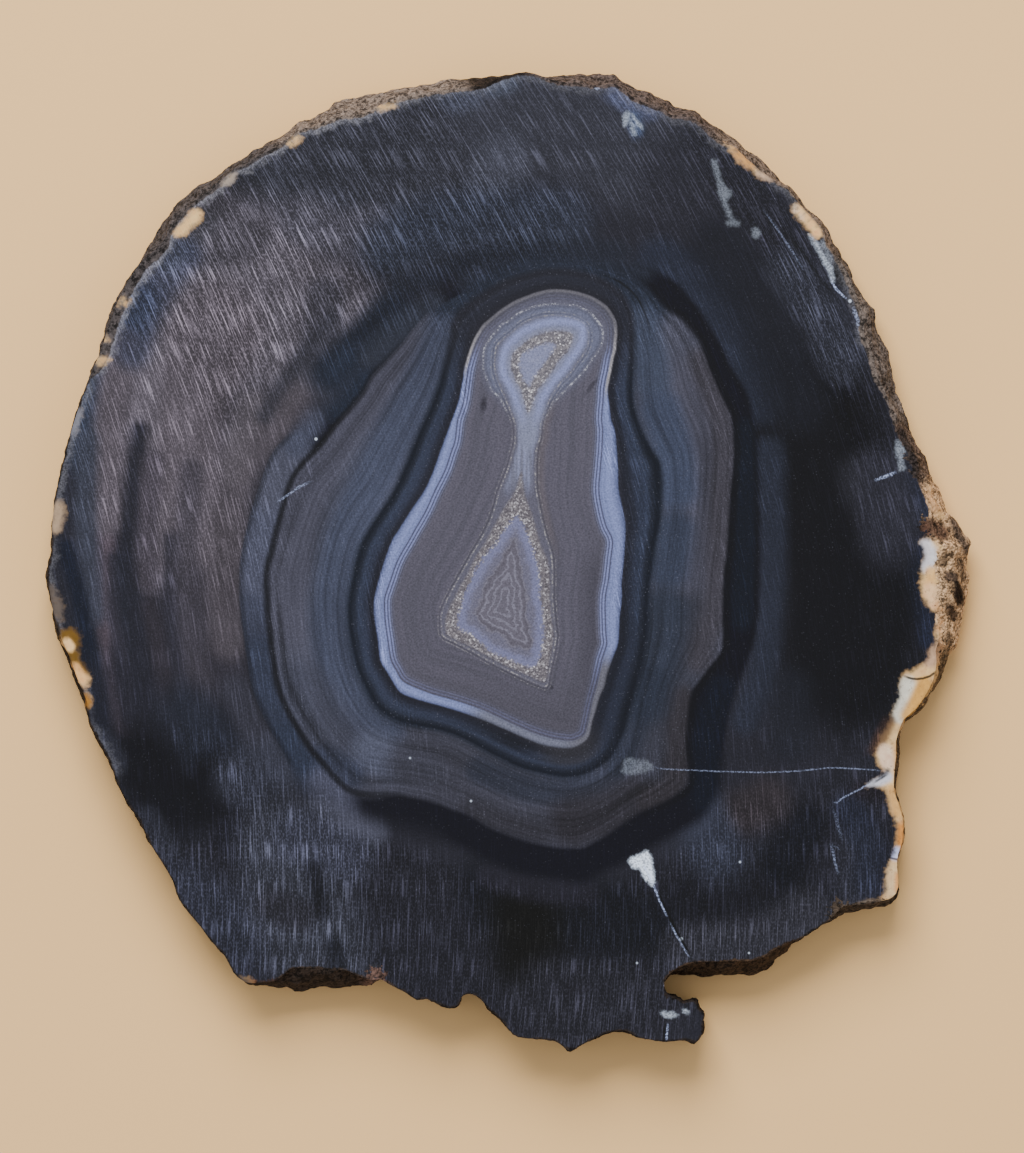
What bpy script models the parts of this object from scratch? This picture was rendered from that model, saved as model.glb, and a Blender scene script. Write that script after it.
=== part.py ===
"""Agate slab: one sawn slice of a banded nodule, lying on its back face with the sawn front up.

Metres, +Z up. The origin is under the middle of the slab, on the surface that it lies on.
"""

import bmesh
import bpy
from mathutils import Vector, noise

# Driving dimensions
SLAB_LENGTH = 0.160
SLAB_THICKNESS = 0.0095

# The rind between the two sawn faces: lumps and grain dent it, and ledges shift up or down
LUMP_DEPTH = 0.0034
LUMP_SPACING = 0.0052
GRAIN_DEPTH = 0.0010
GRAIN_SPACING = 0.0019
LEDGE_SHIFT = 0.0012
BACK_CHIP = 0.0009
BACK_CHIP_SPACING = 0.011
NOISE_SEED = 17

# How far the rind has come out at each share of the thickness below the front face
WIDEST_DEPTH = 0.56
RIND_PROFILE = [
    (0.00, 0.00),
    (0.06, 0.36),
    (0.18, 0.68),
    (0.36, 0.90),
    (WIDEST_DEPTH, 1.00),
    (0.76, 0.94),
    (0.92, 0.80),
    (1.00, 0.62),
]

# Stations between two picked points of the outline, and how many of them a normal looks across
STATIONS_PER_POINT = 2
NORMAL_REACH = 4

# The outline, picked by eye: across, down, and the width of rind beside the sawn front, all in pixels
# of the picture. The slab's length spans the top and bottom ones.
TOP_EDGE = [
    (506, 73, 3), (526, 70, 2), (544, 73, 4), (556, 74, 7), (572, 72, 11), (590, 72, 13), (608, 72, 13),
    (617, 73, 11), (624, 80, 8), (636, 86, 11), (649, 90, 14), (662, 95, 13), (671, 99, 13),
    (676, 105, 11), (696, 109, 10), (703, 116, 8), (711, 122, 8), (721, 127, 12), (732, 134, 12),
    (742, 142, 9), (750, 150, 9), (758, 154, 11), (767, 163, 10), (782, 179, 6), (791, 185, 5),
    (801, 196, 6),
]
RIGHT_EDGE = [
    (809, 207, 5), (820, 217, 5), (829, 227, 7), (834, 239, 9), (841, 249, 9), (847, 259, 7),
    (853, 272, 5), (858, 283, 6), (869, 301, 10), (876, 309, 13), (877, 320, 14), (880, 332, 16),
    (889, 346, 18), (893, 360, 19), (895, 376, 16), (898, 389, 13), (903, 403, 14), (909, 420, 15),
    (915, 437, 14), (922, 448, 14), (928, 456, 16), (932, 472, 16), (939, 486, 16), (946, 499, 18),
    (951, 511, 22), (960, 521, 29), (967, 533, 34), (973, 544, 36), (970, 558, 34), (970, 570, 34),
    (971, 582, 34), (967, 604, 31), (963, 622, 26), (961, 638, 23), (957, 649, 20), (951, 658, 17),
    (948, 668, 13), (940, 684, 8), (930, 701, 7), (920, 713, 6), (908, 722, 5), (903, 731, 4),
    (901, 742, 5), (902, 755, 6), (899, 775, 5), (898, 790, 4), (902, 802, 4), (906, 816, 4),
    (907, 829, 4), (905, 843, 3), (901, 854, 3), (900, 868, 3), (901, 888, 3), (897, 901, 6),
]
LOWER_RIGHT_EDGE = [
    (886, 909, 9), (866, 912, 8), (846, 915, 9), (833, 922, 4), (818, 931, 3), (802, 941, 3),
    (793, 946, 5), (788, 954, 10), (778, 961, 12), (771, 969, 14), (761, 975, 16), (750, 978, 17),
    (732, 978, 17), (712, 979, 17), (697, 978, 16), (685, 977, 12), (676, 976, 6),
]
NOTCH_AND_HEEL = [
    (669, 979, 3), (666, 985, 2), (669, 992, 2), (677, 995, 3), (684, 999, 3), (693, 997, 3),
    (699, 1001, 3), (702, 1008, 3), (707, 1013, 3), (706, 1022, 3), (705, 1034, 3), (701, 1042, 3),
    (694, 1046, 3),
]
BOTTOM_EDGE = [
    (685, 1043, 3), (666, 1044, 2), (646, 1041, 2), (635, 1040, 3), (627, 1035, 4), (613, 1035, 4),
    (600, 1039, 3), (588, 1044, 2), (579, 1050, 3), (571, 1054, 3), (563, 1050, 3), (554, 1043, 2),
    (536, 1041, 2), (517, 1039, 2), (508, 1033, 3), (499, 1022, 3), (488, 1012, 3), (479, 1002, 3),
    (471, 996, 2), (463, 998, 2), (459, 1008, 3), (450, 1011, 3), (440, 1008, 3), (426, 1001, 2),
    (416, 1002, 2), (404, 994, 2), (390, 987, 2),
]
LOWER_LEFT_EDGE = [
    (380, 983, 4), (372, 988, 8), (360, 987, 11), (348, 989, 18), (332, 990, 21), (316, 990, 22),
    (304, 993, 25), (294, 993, 25), (286, 989, 19), (276, 990, 10), (264, 987, 5), (250, 987, 4),
    (241, 982, 2), (232, 974, 2), (223, 957, 2), (209, 942, 2), (199, 928, 2), (187, 914, 2),
    (177, 900, 2), (171, 882, 2), (160, 863, 2), (148, 846, 3), (137, 823, 3), (125, 805, 3),
    (113, 781, 3), (109, 768, 3), (103, 755, 3),
]
LEFT_EDGE = [
    (91, 733, 3), (84, 717, 4), (82, 703, 5), (72, 679, 5), (65, 658, 5), (56, 639, 5), (50, 615, 4),
    (45, 587, 4), (44, 569, 4), (49, 550, 3), (49, 526, 3), (52, 500, 3), (57, 474, 3), (62, 455, 3),
    (68, 431, 3), (77, 403, 3), (84, 382, 3), (91, 364, 4), (98, 344, 5), (104, 323, 5), (111, 305, 5),
    (120, 288, 4), (135, 263, 4), (143, 251, 7),
]
UPPER_LEFT_EDGE = [
    (150, 240, 11), (158, 226, 13), (168, 211, 13), (181, 197, 13), (196, 184, 13), (208, 178, 12),
    (220, 170, 9), (230, 162, 8), (240, 158, 9), (252, 148, 10), (270, 139, 10), (286, 129, 9),
    (298, 119, 11), (309, 118, 10), (320, 110, 13), (333, 101, 17), (345, 97, 20), (360, 94, 20),
    (373, 91, 17), (394, 87, 13), (409, 85, 12), (431, 80, 12), (460, 76, 12), (480, 76, 10),
    (492, 74, 7),
]
OUTLINE = (
    TOP_EDGE + RIGHT_EDGE + LOWER_RIGHT_EDGE + NOTCH_AND_HEEL
    + BOTTOM_EDGE + LOWER_LEFT_EDGE + LEFT_EDGE + UPPER_LEFT_EDGE
)


def on_curve(before, start, end, after, share):
    """A point on the smooth curve from start to end, whose slopes follow the points beside them."""
    square = share * share
    cube = square * share
    return 0.5 * (
        2 * start
        + (end - before) * share
        + (2 * before - 5 * start + 4 * end - after) * square
        + (3 * start - before - 3 * end + after) * cube
    )


def rim_stations():
    """Points round the widest line of the slab, in metres: across, up the picture, width of rind."""
    tops = [point[1] for point in OUTLINE]
    sides = [point[0] for point in OUTLINE]
    metres = SLAB_LENGTH / (max(tops) - min(tops))
    middle_x = 0.5 * (max(sides) + min(sides))
    middle_y = 0.5 * (max(tops) + min(tops))
    picked = [
        Vector(((x - middle_x) * metres, (middle_y - y) * metres, rind * metres))
        for x, y, rind in OUTLINE
    ]
    count = len(picked)
    stations = []
    for at in range(count):
        four = [picked[(at + step) % count] for step in (-1, 0, 1, 2)]
        for step in range(STATIONS_PER_POINT):
            stations.append(on_curve(*four, step / STATIONS_PER_POINT))
    return stations


def inward_normals(stations):
    """At each station, the level direction into the stone, smoothed over its neighbours."""
    count = len(stations)
    normals = []
    for at in range(count):
        ahead = stations[(at + NORMAL_REACH) % count]
        behind = stations[at - NORMAL_REACH]
        along = (ahead - behind).to_2d().normalized()
        normals.append(Vector((along.y, -along.x)))
    return normals


def relief(place, spacing):
    """Seeded noise between about minus and plus one half, with lumps of the given spacing."""
    return 0.5 * noise.noise(place / spacing + Vector((NOISE_SEED, 0, 0)))


def dent(station, level):
    """Lumps and grain of the rind at one level of one station."""
    place = Vector((station.x, station.y, level))
    return LUMP_DEPTH * relief(place, LUMP_SPACING) + GRAIN_DEPTH * relief(place, GRAIN_SPACING)


def ring_point(station, inward, depth_share, reach):
    """One point of a ring round the slab, at a share of the thickness below the front face."""
    level = SLAB_THICKNESS * (1 - depth_share)
    place = Vector((station.x, station.y, level))
    inset = station.z * (1 - reach)
    if 0 < depth_share < 1:
        widest = SLAB_THICKNESS * (1 - WIDEST_DEPTH)
        inset += abs(dent(station, level) - dent(station, widest))
        level += LEDGE_SHIFT * relief(place.yzx, LUMP_SPACING)
    chip = BACK_CHIP * (0.6 + noise.noise(place / BACK_CHIP_SPACING)) * depth_share ** 6
    flat = station.to_2d() + inward * (inset + max(chip, 0))
    return Vector((flat.x, flat.y, level))


def build_slab(collection):
    """The front ring is drawn, extruded level by level down the rind, and closed at both faces."""
    stations = rim_stations()
    normals = inward_normals(stations)
    bm = bmesh.new()
    rings = [
        [ring_point(station, inward, depth, reach) for station, inward in zip(stations, normals)]
        for depth, reach in RIND_PROFILE
    ]
    loop = [bm.verts.new(point) for point in rings[0]]
    edges = [bm.edges.new((loop[at - 1], loop[at])) for at in range(len(loop))]
    bmesh.ops.contextual_create(bm, geom=edges)
    for ring in rings[1:]:
        grown = bmesh.ops.extrude_edge_only(bm, edges=edges)
        # The new vertices come in the order of the old edges' ends, so each one is matched by place
        lower = [item for item in grown["geom"] if isinstance(item, bmesh.types.BMVert)]
        edges = [item for item in grown["geom"] if isinstance(item, bmesh.types.BMEdge)]
        partner = {vert.co.copy().freeze(): vert for vert in lower}
        loop = [partner[vert.co.copy().freeze()] for vert in loop]
        for vert, point in zip(loop, ring):
            vert.co = point
    bmesh.ops.contextual_create(bm, geom=edges)
    bmesh.ops.recalc_face_normals(bm, faces=bm.faces)

    lows = Vector(min(vert.co[axis] for vert in bm.verts) for axis in range(3))
    highs = Vector(max(vert.co[axis] for vert in bm.verts) for axis in range(3))
    middle = (lows + highs) / 2
    bmesh.ops.translate(bm, verts=bm.verts, vec=(-middle.x, -middle.y, -lows.z))

    mesh = bpy.data.meshes.new("agate_slab")
    bm.to_mesh(mesh)
    bm.free()
    slab = bpy.data.objects.new("agate_slab", mesh)
    collection.objects.link(slab)
    return slab


def agate_material():
    """Dark banded chalcedony, sawn but not polished."""
    material = bpy.data.materials.new("sawn_agate")
    material.use_nodes = True
    shader = material.node_tree.nodes["Principled BSDF"]
    shader.inputs["Base Color"].default_value = (0.075, 0.078, 0.105, 1)
    shader.inputs["Roughness"].default_value = 0.45
    shader.inputs["Metallic"].default_value = 0.0
    return material


def main():
    for item in list(bpy.data.objects):
        bpy.data.objects.remove(item)
    collection = bpy.data.collections.new("agate_slab")
    bpy.context.scene.collection.children.link(collection)
    slab = build_slab(collection)
    slab.data.materials.append(agate_material())


main()
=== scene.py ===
# %% [markdown]
# # A sawn agate slab
# An agate nodule grows in a bubble of old lava: silica gel lines the bubble, layer on layer, and the
# last of the room fills with tiny quartz crystals. A saw then takes a flat slice out of it. This lesson
# dresses the plain solid of such a slice: first its mesh, then its pattern of bands, then the marks of
# the saw and the rough rind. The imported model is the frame, so it is loaded first and never changed.

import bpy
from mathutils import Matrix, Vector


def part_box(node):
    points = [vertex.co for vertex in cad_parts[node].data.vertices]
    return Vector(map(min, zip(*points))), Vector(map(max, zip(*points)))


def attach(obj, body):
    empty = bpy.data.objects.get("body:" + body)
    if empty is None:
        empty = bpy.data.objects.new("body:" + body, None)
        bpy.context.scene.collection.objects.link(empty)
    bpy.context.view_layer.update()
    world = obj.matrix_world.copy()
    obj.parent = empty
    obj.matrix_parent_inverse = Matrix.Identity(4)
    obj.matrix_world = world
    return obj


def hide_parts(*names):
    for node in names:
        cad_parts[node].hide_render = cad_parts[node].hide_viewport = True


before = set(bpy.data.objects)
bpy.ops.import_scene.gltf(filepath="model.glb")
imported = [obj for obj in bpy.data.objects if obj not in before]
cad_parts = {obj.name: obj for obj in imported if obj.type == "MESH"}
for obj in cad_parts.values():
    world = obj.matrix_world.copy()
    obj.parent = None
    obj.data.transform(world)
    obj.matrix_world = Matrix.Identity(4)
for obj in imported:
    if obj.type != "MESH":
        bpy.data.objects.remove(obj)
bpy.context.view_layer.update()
slab_low, slab_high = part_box("agate_slab")
print("slab, mm:", [round(1000 * side, 2) for side in slab_high - slab_low])

# %% Tools
import math

import bmesh
import bpy
import numpy as np
from mathutils import Vector, noise

# %% [markdown]
# ## From the photograph to metres
# The slab lies flat and the camera looks straight down on it, so one scale turns a place in the
# photograph into a place on the slab. Two pairs of named edges fix that scale. Every band below is then
# written as it was read, across and down the photograph, and no place has to be worked out twice.

# %% The photograph's scale
IMAGE_WIDTH, IMAGE_HEIGHT = 1024, 1153
LEFT_EDGE, RIGHT_EDGE = 44, 973
TOP_EDGE, BOTTOM_EDGE = 70, 1054
PIXELS_PER_METRE = (RIGHT_EDGE - LEFT_EDGE) / (slab_high.x - slab_low.x)
MIDDLE_ACROSS = (LEFT_EDGE + RIGHT_EDGE) / 2
MIDDLE_DOWN = (TOP_EDGE + BOTTOM_EDGE) / 2
PIXEL = 1 / PIXELS_PER_METRE


def on_slab(across, down):
    """The place on the slab, in metres, of a place in the photograph."""
    return (across - MIDDLE_ACROSS) * PIXEL, (MIDDLE_DOWN - down) * PIXEL


print("pixels to the millimetre:", round(PIXELS_PER_METRE / 1000, 3))

# %% [markdown]
# ## The camera
# The photograph shows no side of the slab, and its edges don't lean outwards, so the camera stood well
# back and straight above. A long lens two metres up gives the same view. A wide lens close by would
# frame the slab as well, but it would show more of the rind on one side than on the other.

# %% Place the camera
CAMERA_ABOVE_FACE = 2.0
SENSOR = 36.0
view_height = IMAGE_HEIGHT * PIXEL
camera_data = bpy.data.cameras.new("camera")
camera_data.sensor_width = SENSOR
camera_data.lens = SENSOR * CAMERA_ABOVE_FACE / view_height
camera_data.clip_start, camera_data.clip_end = 0.1, 20.0
camera = bpy.data.objects.new("camera", camera_data)
bpy.context.scene.collection.objects.link(camera)
middle_x, middle_y = on_slab(IMAGE_WIDTH / 2, IMAGE_HEIGHT / 2)
camera.location = (middle_x, middle_y, slab_high.z + CAMERA_ABOVE_FACE)
bpy.context.scene.camera = camera
print("lens, mm:", round(camera_data.lens), "view height, mm:", round(1000 * view_height, 1))

# %% [markdown]
# ## The slab's mesh
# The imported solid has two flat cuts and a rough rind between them. Its cuts are fans of long triangles,
# which can't hold a pattern, so a merged copy has each cut joined into one face and then sliced by
# straight planes into small squares. A remesh would also give squares, but it would round off the sharp
# sawn edge. The rind's triangles are only subdivided, because they already have the right shape.

# %% A merged copy of the solid
MERGE_DISTANCE = 1e-6
CUT_DISTANCE = 1e-7
FLAT = 0.999
stone = bmesh.new()
stone.from_mesh(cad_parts["agate_slab"].data)
bmesh.ops.remove_doubles(stone, verts=stone.verts, dist=MERGE_DISTANCE)
stone.normal_update()


def flat_faces(height, way):
    """The faces of one sawn cut: level, at a height, and facing up (1) or down (-1)."""
    return [
        face
        for face in stone.faces
        if face.normal.z * way > FLAT and abs(face.calc_center_median().z - height) < MERGE_DISTANCE * 10
    ]


for height, way in ((slab_high.z, 1), (slab_low.z, -1)):
    bmesh.ops.dissolve_faces(stone, faces=flat_faces(height, way), use_verts=False)
print("faces of the two cuts:", len(flat_faces(slab_high.z, 1)), len(flat_faces(slab_low.z, -1)))

# %% [markdown]
# ### The granular rind
# The rind is the skin of the nodule, pitted by the grains of the rock that it grew in. Each of its
# triangles is cut in nine, and its vertices sink by a noise of two sizes: small grains on pits. They
# only sink, so that the slab stays inside its true size, and the sharp edges of the two cuts stay put.

# %% Subdivide and pit the rind
RIND_CUTS = 2
PIT_DEPTH, PIT_SIZE, PIT_SHARE = 0.00050, 0.0022, 0.25
GRAIN_DEPTH, GRAIN_SIZE = 0.00026, 0.00075
rind_edges = {
    edge
    for face in stone.faces
    if abs(face.normal.z) < FLAT or len(face.verts) == 3
    for edge in face.edges
}
bmesh.ops.subdivide_edges(stone, edges=list(rind_edges), cuts=RIND_CUTS, use_grid_fill=True)
stone.normal_update()
moves = {}
for vertex in stone.verts:
    if slab_low.z + MERGE_DISTANCE < vertex.co.z < slab_high.z - MERGE_DISTANCE:
        pit = max(0.0, noise.noise(vertex.co / PIT_SIZE) + PIT_SHARE)
        grain = abs(noise.noise(vertex.co / GRAIN_SIZE))
        inwards = Vector((vertex.normal.x, vertex.normal.y, 0.0))
        moves[vertex] = inwards * -(PIT_DEPTH * pit + GRAIN_DEPTH * grain)
for vertex, move in moves.items():
    vertex.co += move
print("rind vertices:", len(moves))

# %% [markdown]
# ### Squares on the two cuts
# The bands are stored at the vertices and drawn by the shader between them, so a square needs to be no
# bigger than the tightest bend of a band. Planes a millimetre apart do for the outer bands. Where fine
# rings or small patches lie, each square is cut in nine. The back is seen less, so its planes stand
# further apart. Each plane only meets the part that is still to be sliced, which is quick.

# %% Slice the cuts into squares
FRONT_SQUARE, BACK_SQUARE = 0.0010, 0.0018
FINE_CUTS = 2
FINE_PLACES = {
    "head": (455, 282, 628, 420),
    "waist": (392, 420, 634, 540),
    "foot": (366, 540, 634, 758),
    "fern mark": (606, 84, 660, 140),
    "white streak": (706, 154, 764, 242),
    "vein": (806, 226, 868, 310),
    "wedge": (622, 845, 660, 900),
    "low white patch": (656, 1004, 694, 1022),
    "upper left skin": (172, 170, 240, 238),
    "left skin": (44, 495, 72, 545),
    "left orange skin": (56, 628, 100, 712),
    "right skin up": (892, 440, 960, 540),
    "right skin": (914, 540, 968, 676),
    "right skin down": (870, 676, 945, 795),
    "right skin low": (880, 795, 908, 905),
}


def slice_faces(faces, way, square):
    """Cuts faces by planes that stand across one axis, and returns all the pieces."""
    across = Vector((way == 0, way == 1, 0))
    low, high = slab_low[way], slab_high[way]
    done, rest = [], list(faces)
    for step in range(1, math.ceil((high - low) / square)):
        cut = low + step * square
        parts = set(rest)
        for face in rest:
            parts.update(face.edges)
            parts.update(face.verts)
        result = bmesh.ops.bisect_plane(
            stone, geom=list(parts), dist=CUT_DISTANCE, plane_co=across * cut, plane_no=across
        )
        pieces = [part for part in result["geom"] if isinstance(part, bmesh.types.BMFace)]
        done += [face for face in pieces if face.calc_center_bounds()[way] < cut]
        rest = [face for face in pieces if face.calc_center_bounds()[way] >= cut]
    return done + rest


for height, way, square in ((slab_high.z, 1, FRONT_SQUARE), (slab_low.z, -1, BACK_SQUARE)):
    strips = slice_faces(flat_faces(height, way), 0, square)
    squares = slice_faces(strips, 1, square)
    print("squares:", len(squares))


def needs_detail(face):
    """True for a front square in one of the fine places."""
    middle = face.calc_center_median()
    across = MIDDLE_ACROSS + middle.x / PIXEL
    down = MIDDLE_DOWN - middle.y / PIXEL
    return any(
        left < across < right and top < down < bottom
        for left, top, right, bottom in FINE_PLACES.values()
    )


fine_edges = {edge for face in flat_faces(slab_high.z, 1) if needs_detail(face) for edge in face.edges}
bmesh.ops.subdivide_edges(stone, edges=list(fine_edges), cuts=FINE_CUTS, use_grid_fill=True)
print("vertices:", len(stone.verts), "triangles:", len(stone.calc_loop_triangles()))

# %% Make the dressed slab's object
slab_mesh = bpy.data.meshes.new("dressed_slab")
rim_edges = [
    [corner.co.copy() for corner in edge.verts]
    for edge in stone.edges
    if len(edge.link_faces) == 2
    and sum(abs(face.normal.z) > FLAT for face in edge.link_faces) == 1
    and abs(edge.verts[0].co.z - edge.verts[1].co.z) < MERGE_DISTANCE
    and min(abs(edge.verts[0].co.z - level) for level in (slab_low.z, slab_high.z)) < MERGE_DISTANCE
]
stone.to_mesh(slab_mesh)
stone.free()
slab = bpy.data.objects.new("dressed_slab", slab_mesh)
bpy.context.scene.collection.objects.link(slab)
print("edges of the two cuts:", len(rim_edges))

# %% [markdown]
# ## Distances to the bands
# A band in agate is a closed line, and its colour depends on how far inside that line a point lies. So
# each important line is written as a few places read from the photograph, drawn through them as a
# smooth curve, and stored as every vertex's distance to it: below zero inside, above zero outside. The
# shader can then draw a line of any thinness where that number passes zero. A painted picture would do
# the same for one size only. The bands pass through the stone at a slant, so on the back they have
# moved aside by a millimetre or two.

# %% Read the vertices in the photograph's pixels
SLANT_ACROSS, SLANT_DOWN = 1400.0, -900.0
CORE_LEFT, CORE_RIGHT = 336, 664
CORE_TOP, CORE_BOTTOM = 252, 788
count = len(slab_mesh.vertices)
places = np.empty(count * 3)
slab_mesh.vertices.foreach_get("co", places)
places = places.reshape(-1, 3)
depth = slab_high.z - places[:, 2]
across = MIDDLE_ACROSS + places[:, 0] * PIXELS_PER_METRE + SLANT_ACROSS * depth
down = MIDDLE_DOWN - places[:, 1] * PIXELS_PER_METRE + SLANT_DOWN * depth
near_core = (across > CORE_LEFT) & (across < CORE_RIGHT) & (down > CORE_TOP) & (down < CORE_BOTTOM)
print("vertices near the core:", int(near_core.sum()))

# %% Curves and distances
CURVE_STEPS = 5


def smooth_curve(points, closed=True):
    """Points of a smooth curve that passes through the given places."""
    points = np.array(points, float)
    if closed:
        padded = np.vstack([points[-1:], points, points[:2]])
    else:
        padded = np.vstack([2 * points[0] - points[1], points, 2 * points[-1] - points[-2]])
    curve = []
    for before, start, end, after in zip(padded, padded[1:], padded[2:], padded[3:]):
        for t in np.arange(CURVE_STEPS) / CURVE_STEPS:
            curve.append(
                0.5
                * (
                    2 * start
                    + (end - before) * t
                    + (2 * before - 5 * start + 4 * end - after) * t**2
                    + (3 * start - before - 3 * end + after) * t**3
                )
            )
    return np.array(curve if closed else [*curve, points[-1]])


def distance_to(starts, ends, x, y):
    """Each point's distance to the nearest of some straight pieces."""
    nearest = np.full(len(x), np.inf)
    for (ax, ay), (bx, by) in zip(starts, ends):
        dx, dy = bx - ax, by - ay
        t = np.clip(((x - ax) * dx + (y - ay) * dy) / max(dx * dx + dy * dy, 1e-12), 0, 1)
        nearest = np.minimum(nearest, (x - ax - t * dx) ** 2 + (y - ay - t * dy) ** 2)
    return np.sqrt(nearest)


def signed_distance(points, x, y):
    """Each point's distance to a closed smooth curve, below zero inside it."""
    curve = smooth_curve(points)
    ends = np.roll(curve, -1, axis=0)
    inside = np.zeros(len(x), bool)
    for (ax, ay), (bx, by) in zip(curve, ends):
        if ay != by:
            crosses = (y < ay) != (y < by)
            inside ^= crosses & (x < (bx - ax) * (y - ay) / (by - ay) + ax)
    return distance_to(curve, ends, x, y) * np.where(inside, -1, 1)


def store(name, values):
    """Keeps one number at each vertex, under a name that the shader can read."""
    layer = slab_mesh.attributes.new(name, "FLOAT", "POINT")
    layer.data.foreach_set("value", np.asarray(values, np.float32))
    print(f"{name}: {float(np.min(values)):.1f} to {float(np.max(values)):.1f}")


FAR = 200.0


def store_line(name, points, only_near_core=True):
    """Stores the distance to a closed line, in pixels of the photograph."""
    if not only_near_core:
        values = signed_distance(points, across, down)
    else:
        values = np.full(count, FAR)
        values[near_core] = signed_distance(points, across[near_core], down[near_core])
    store(name, values)


# %% [markdown]
# ### The sawn edge
# How far a point lies from the edge of its cut tells rind from stone. On the rind itself it is zero.

# %% Distance to the sawn edge
on_front = places[:, 2] > slab_high.z - MERGE_DISTANCE
on_back = places[:, 2] < slab_low.z + MERGE_DISTANCE
rim = np.zeros(count)
for level, on_cut in ((slab_high.z, on_front), (slab_low.z, on_back)):
    edges = [pair for pair in rim_edges if abs(pair[0].z - level) < MERGE_DISTANCE]
    starts, ends = ([(pair[end].x / PIXEL, pair[end].y / PIXEL) for pair in edges] for end in (0, 1))
    rim[on_cut] = distance_to(starts, ends, places[on_cut, 0] / PIXEL, places[on_cut, 1] / PIXEL)
store("rim", rim)
store("face", (on_front | on_back).astype(float))

# %% [markdown]
# ### The great outer bands
# Two closed lines carry the big shapes. The shield is the sharp dark edge on the left and the outer
# side of the dark band on the right and below. The hood is the grey shape inside it.

# %% The shield and the hood
SHIELD_LINE = [
    (560, 252), (600, 255), (640, 264), (662, 274), (679, 285), (690, 298), (702, 314), (713, 331),
    (723, 350), (730, 365), (740, 380), (747, 394), (751, 407), (754, 423), (756, 442), (758, 461),
    (759, 490), (760, 520), (760, 560), (759, 600), (757, 625), (752, 648), (744, 670), (735, 695),
    (728, 720), (724, 750), (722, 775), (718, 795), (710, 810), (699, 821), (675, 836), (654, 846),
    (630, 861), (603, 873), (583, 882), (562, 880), (532, 875), (511, 870), (491, 862), (470, 852),
    (450, 843), (420, 832), (383, 824), (360, 817), (340, 808), (322, 799), (306, 788), (295, 775),
    (287, 758), (277, 740), (267, 723), (257, 701), (251, 681), (246, 654), (243, 632), (241, 611),
    (240, 591), (240, 570), (243, 545), (250, 516), (259, 490), (266, 467), (277, 447), (296, 427),
    (310, 411), (323, 394), (335, 378), (348, 362), (365, 342), (385, 322), (410, 303), (440, 285),
    (470, 269), (510, 257), (535, 253),
]
HOOD_LINE = [
    (560, 262), (590, 265), (620, 272), (642, 283), (656, 298), (667, 310), (679, 318), (688, 327),
    (698, 340), (705, 356), (711, 371), (719, 390), (726, 405), (731, 415), (733, 428), (734, 444),
    (734, 461), (732, 480), (730, 499), (729, 518), (728, 537), (727, 552), (724, 574), (723, 597),
    (723, 620), (724, 632), (723, 641), (721, 652), (711, 666), (700, 680), (692, 691), (689, 705),
    (687, 724), (686, 742), (688, 770), (688, 784), (675, 795), (659, 804), (640, 812), (622, 824),
    (603, 837), (583, 847), (573, 848), (552, 846), (532, 842), (511, 836), (491, 828), (471, 816),
    (452, 809), (434, 802), (414, 797), (394, 794), (373, 795), (352, 792), (338, 781), (324, 765),
    (310, 748), (302, 736), (291, 718), (283, 701), (276, 679), (273, 658), (270, 638), (268, 615),
    (266, 591), (266, 571), (270, 554), (277, 528), (285, 499), (293, 476), (305, 461), (321, 444),
    (333, 428), (347, 411), (363, 392), (373, 375), (386, 361), (402, 344), (413, 329), (427, 314),
    (450, 300), (478, 285), (505, 272), (532, 264),
]
store_line("shield", SHIELD_LINE, only_near_core=False)
store_line("hood", HOOD_LINE, only_near_core=False)

# %% [markdown]
# ### How soft those two lines are
# In some places the line is as sharp as a cut, in others the colour seeps across it. A softness in
# pixels is stored as well: a low value everywhere, with soft strokes of a higher one.

# %% Soft steps and paths
def soft_step(values):
    """Eases numbers from 0 to 1, and holds them outside that range."""
    values = np.clip(values, 0, 1)
    return values * values * (3 - 2 * values)


def reach_of(points):
    """Each vertex's distance to an open smooth path, or to a single place."""
    points = np.array(points, float)
    if len(points) == 1:
        return np.hypot(across - points[0][0], down - points[0][1])
    if len(points) > 2:
        points = smooth_curve(points, closed=False)
    return distance_to(points[:-1], points[1:], across, down)


def path_amount(points, width, fade):
    """One on a path of a given half width, falling to zero over the fade beside it."""
    return soft_step(1 - (reach_of(points) - width) / fade)


def store_strokes(name, everywhere, strokes):
    """Stores a number that is the same everywhere but for soft strokes of other values."""
    values = np.full(count, float(everywhere))
    for value, width, fade, points in strokes.values():
        amount = path_amount(points, width, fade)
        values = values * (1 - amount) + value * amount
    store(name, values)


SHIELD_SOFTNESS = {
    "upper left": (26, 30, 40, [(325, 385), (370, 335), (430, 290), (480, 262)]),
    "bottom left": (16, 20, 40, [(325, 800), (380, 822), (430, 838)]),
    "bottom": (8, 20, 40, [(480, 858), (560, 880), (640, 856), (720, 790)]),
    "right": (4, 20, 40, [(735, 690), (760, 600), (760, 480), (735, 370), (680, 286)]),
    "top": (10, 20, 40, [(520, 256), (560, 252), (620, 258)]),
}
store_strokes("shield_softness", 1.6, SHIELD_SOFTNESS)
HOOD_SOFTNESS = {
    "left": (5, 20, 40, [(268, 560), (268, 620), (280, 690), (310, 750)]),
    "bottom left": (9, 20, 30, [(330, 775), (370, 795)]),
    "bottom": (3.5, 20, 30, [(420, 798), (500, 832), (560, 848), (620, 824), (676, 794)]),
    "low right": (3, 14, 20, [(688, 770), (688, 710)]),
    "top": (12, 14, 20, [(490, 279), (560, 262), (630, 276)]),
    "top right": (4, 14, 20, [(660, 300), (690, 328)]),
}
store_strokes("hood_softness", 1.8, HOOD_SOFTNESS)

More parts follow.
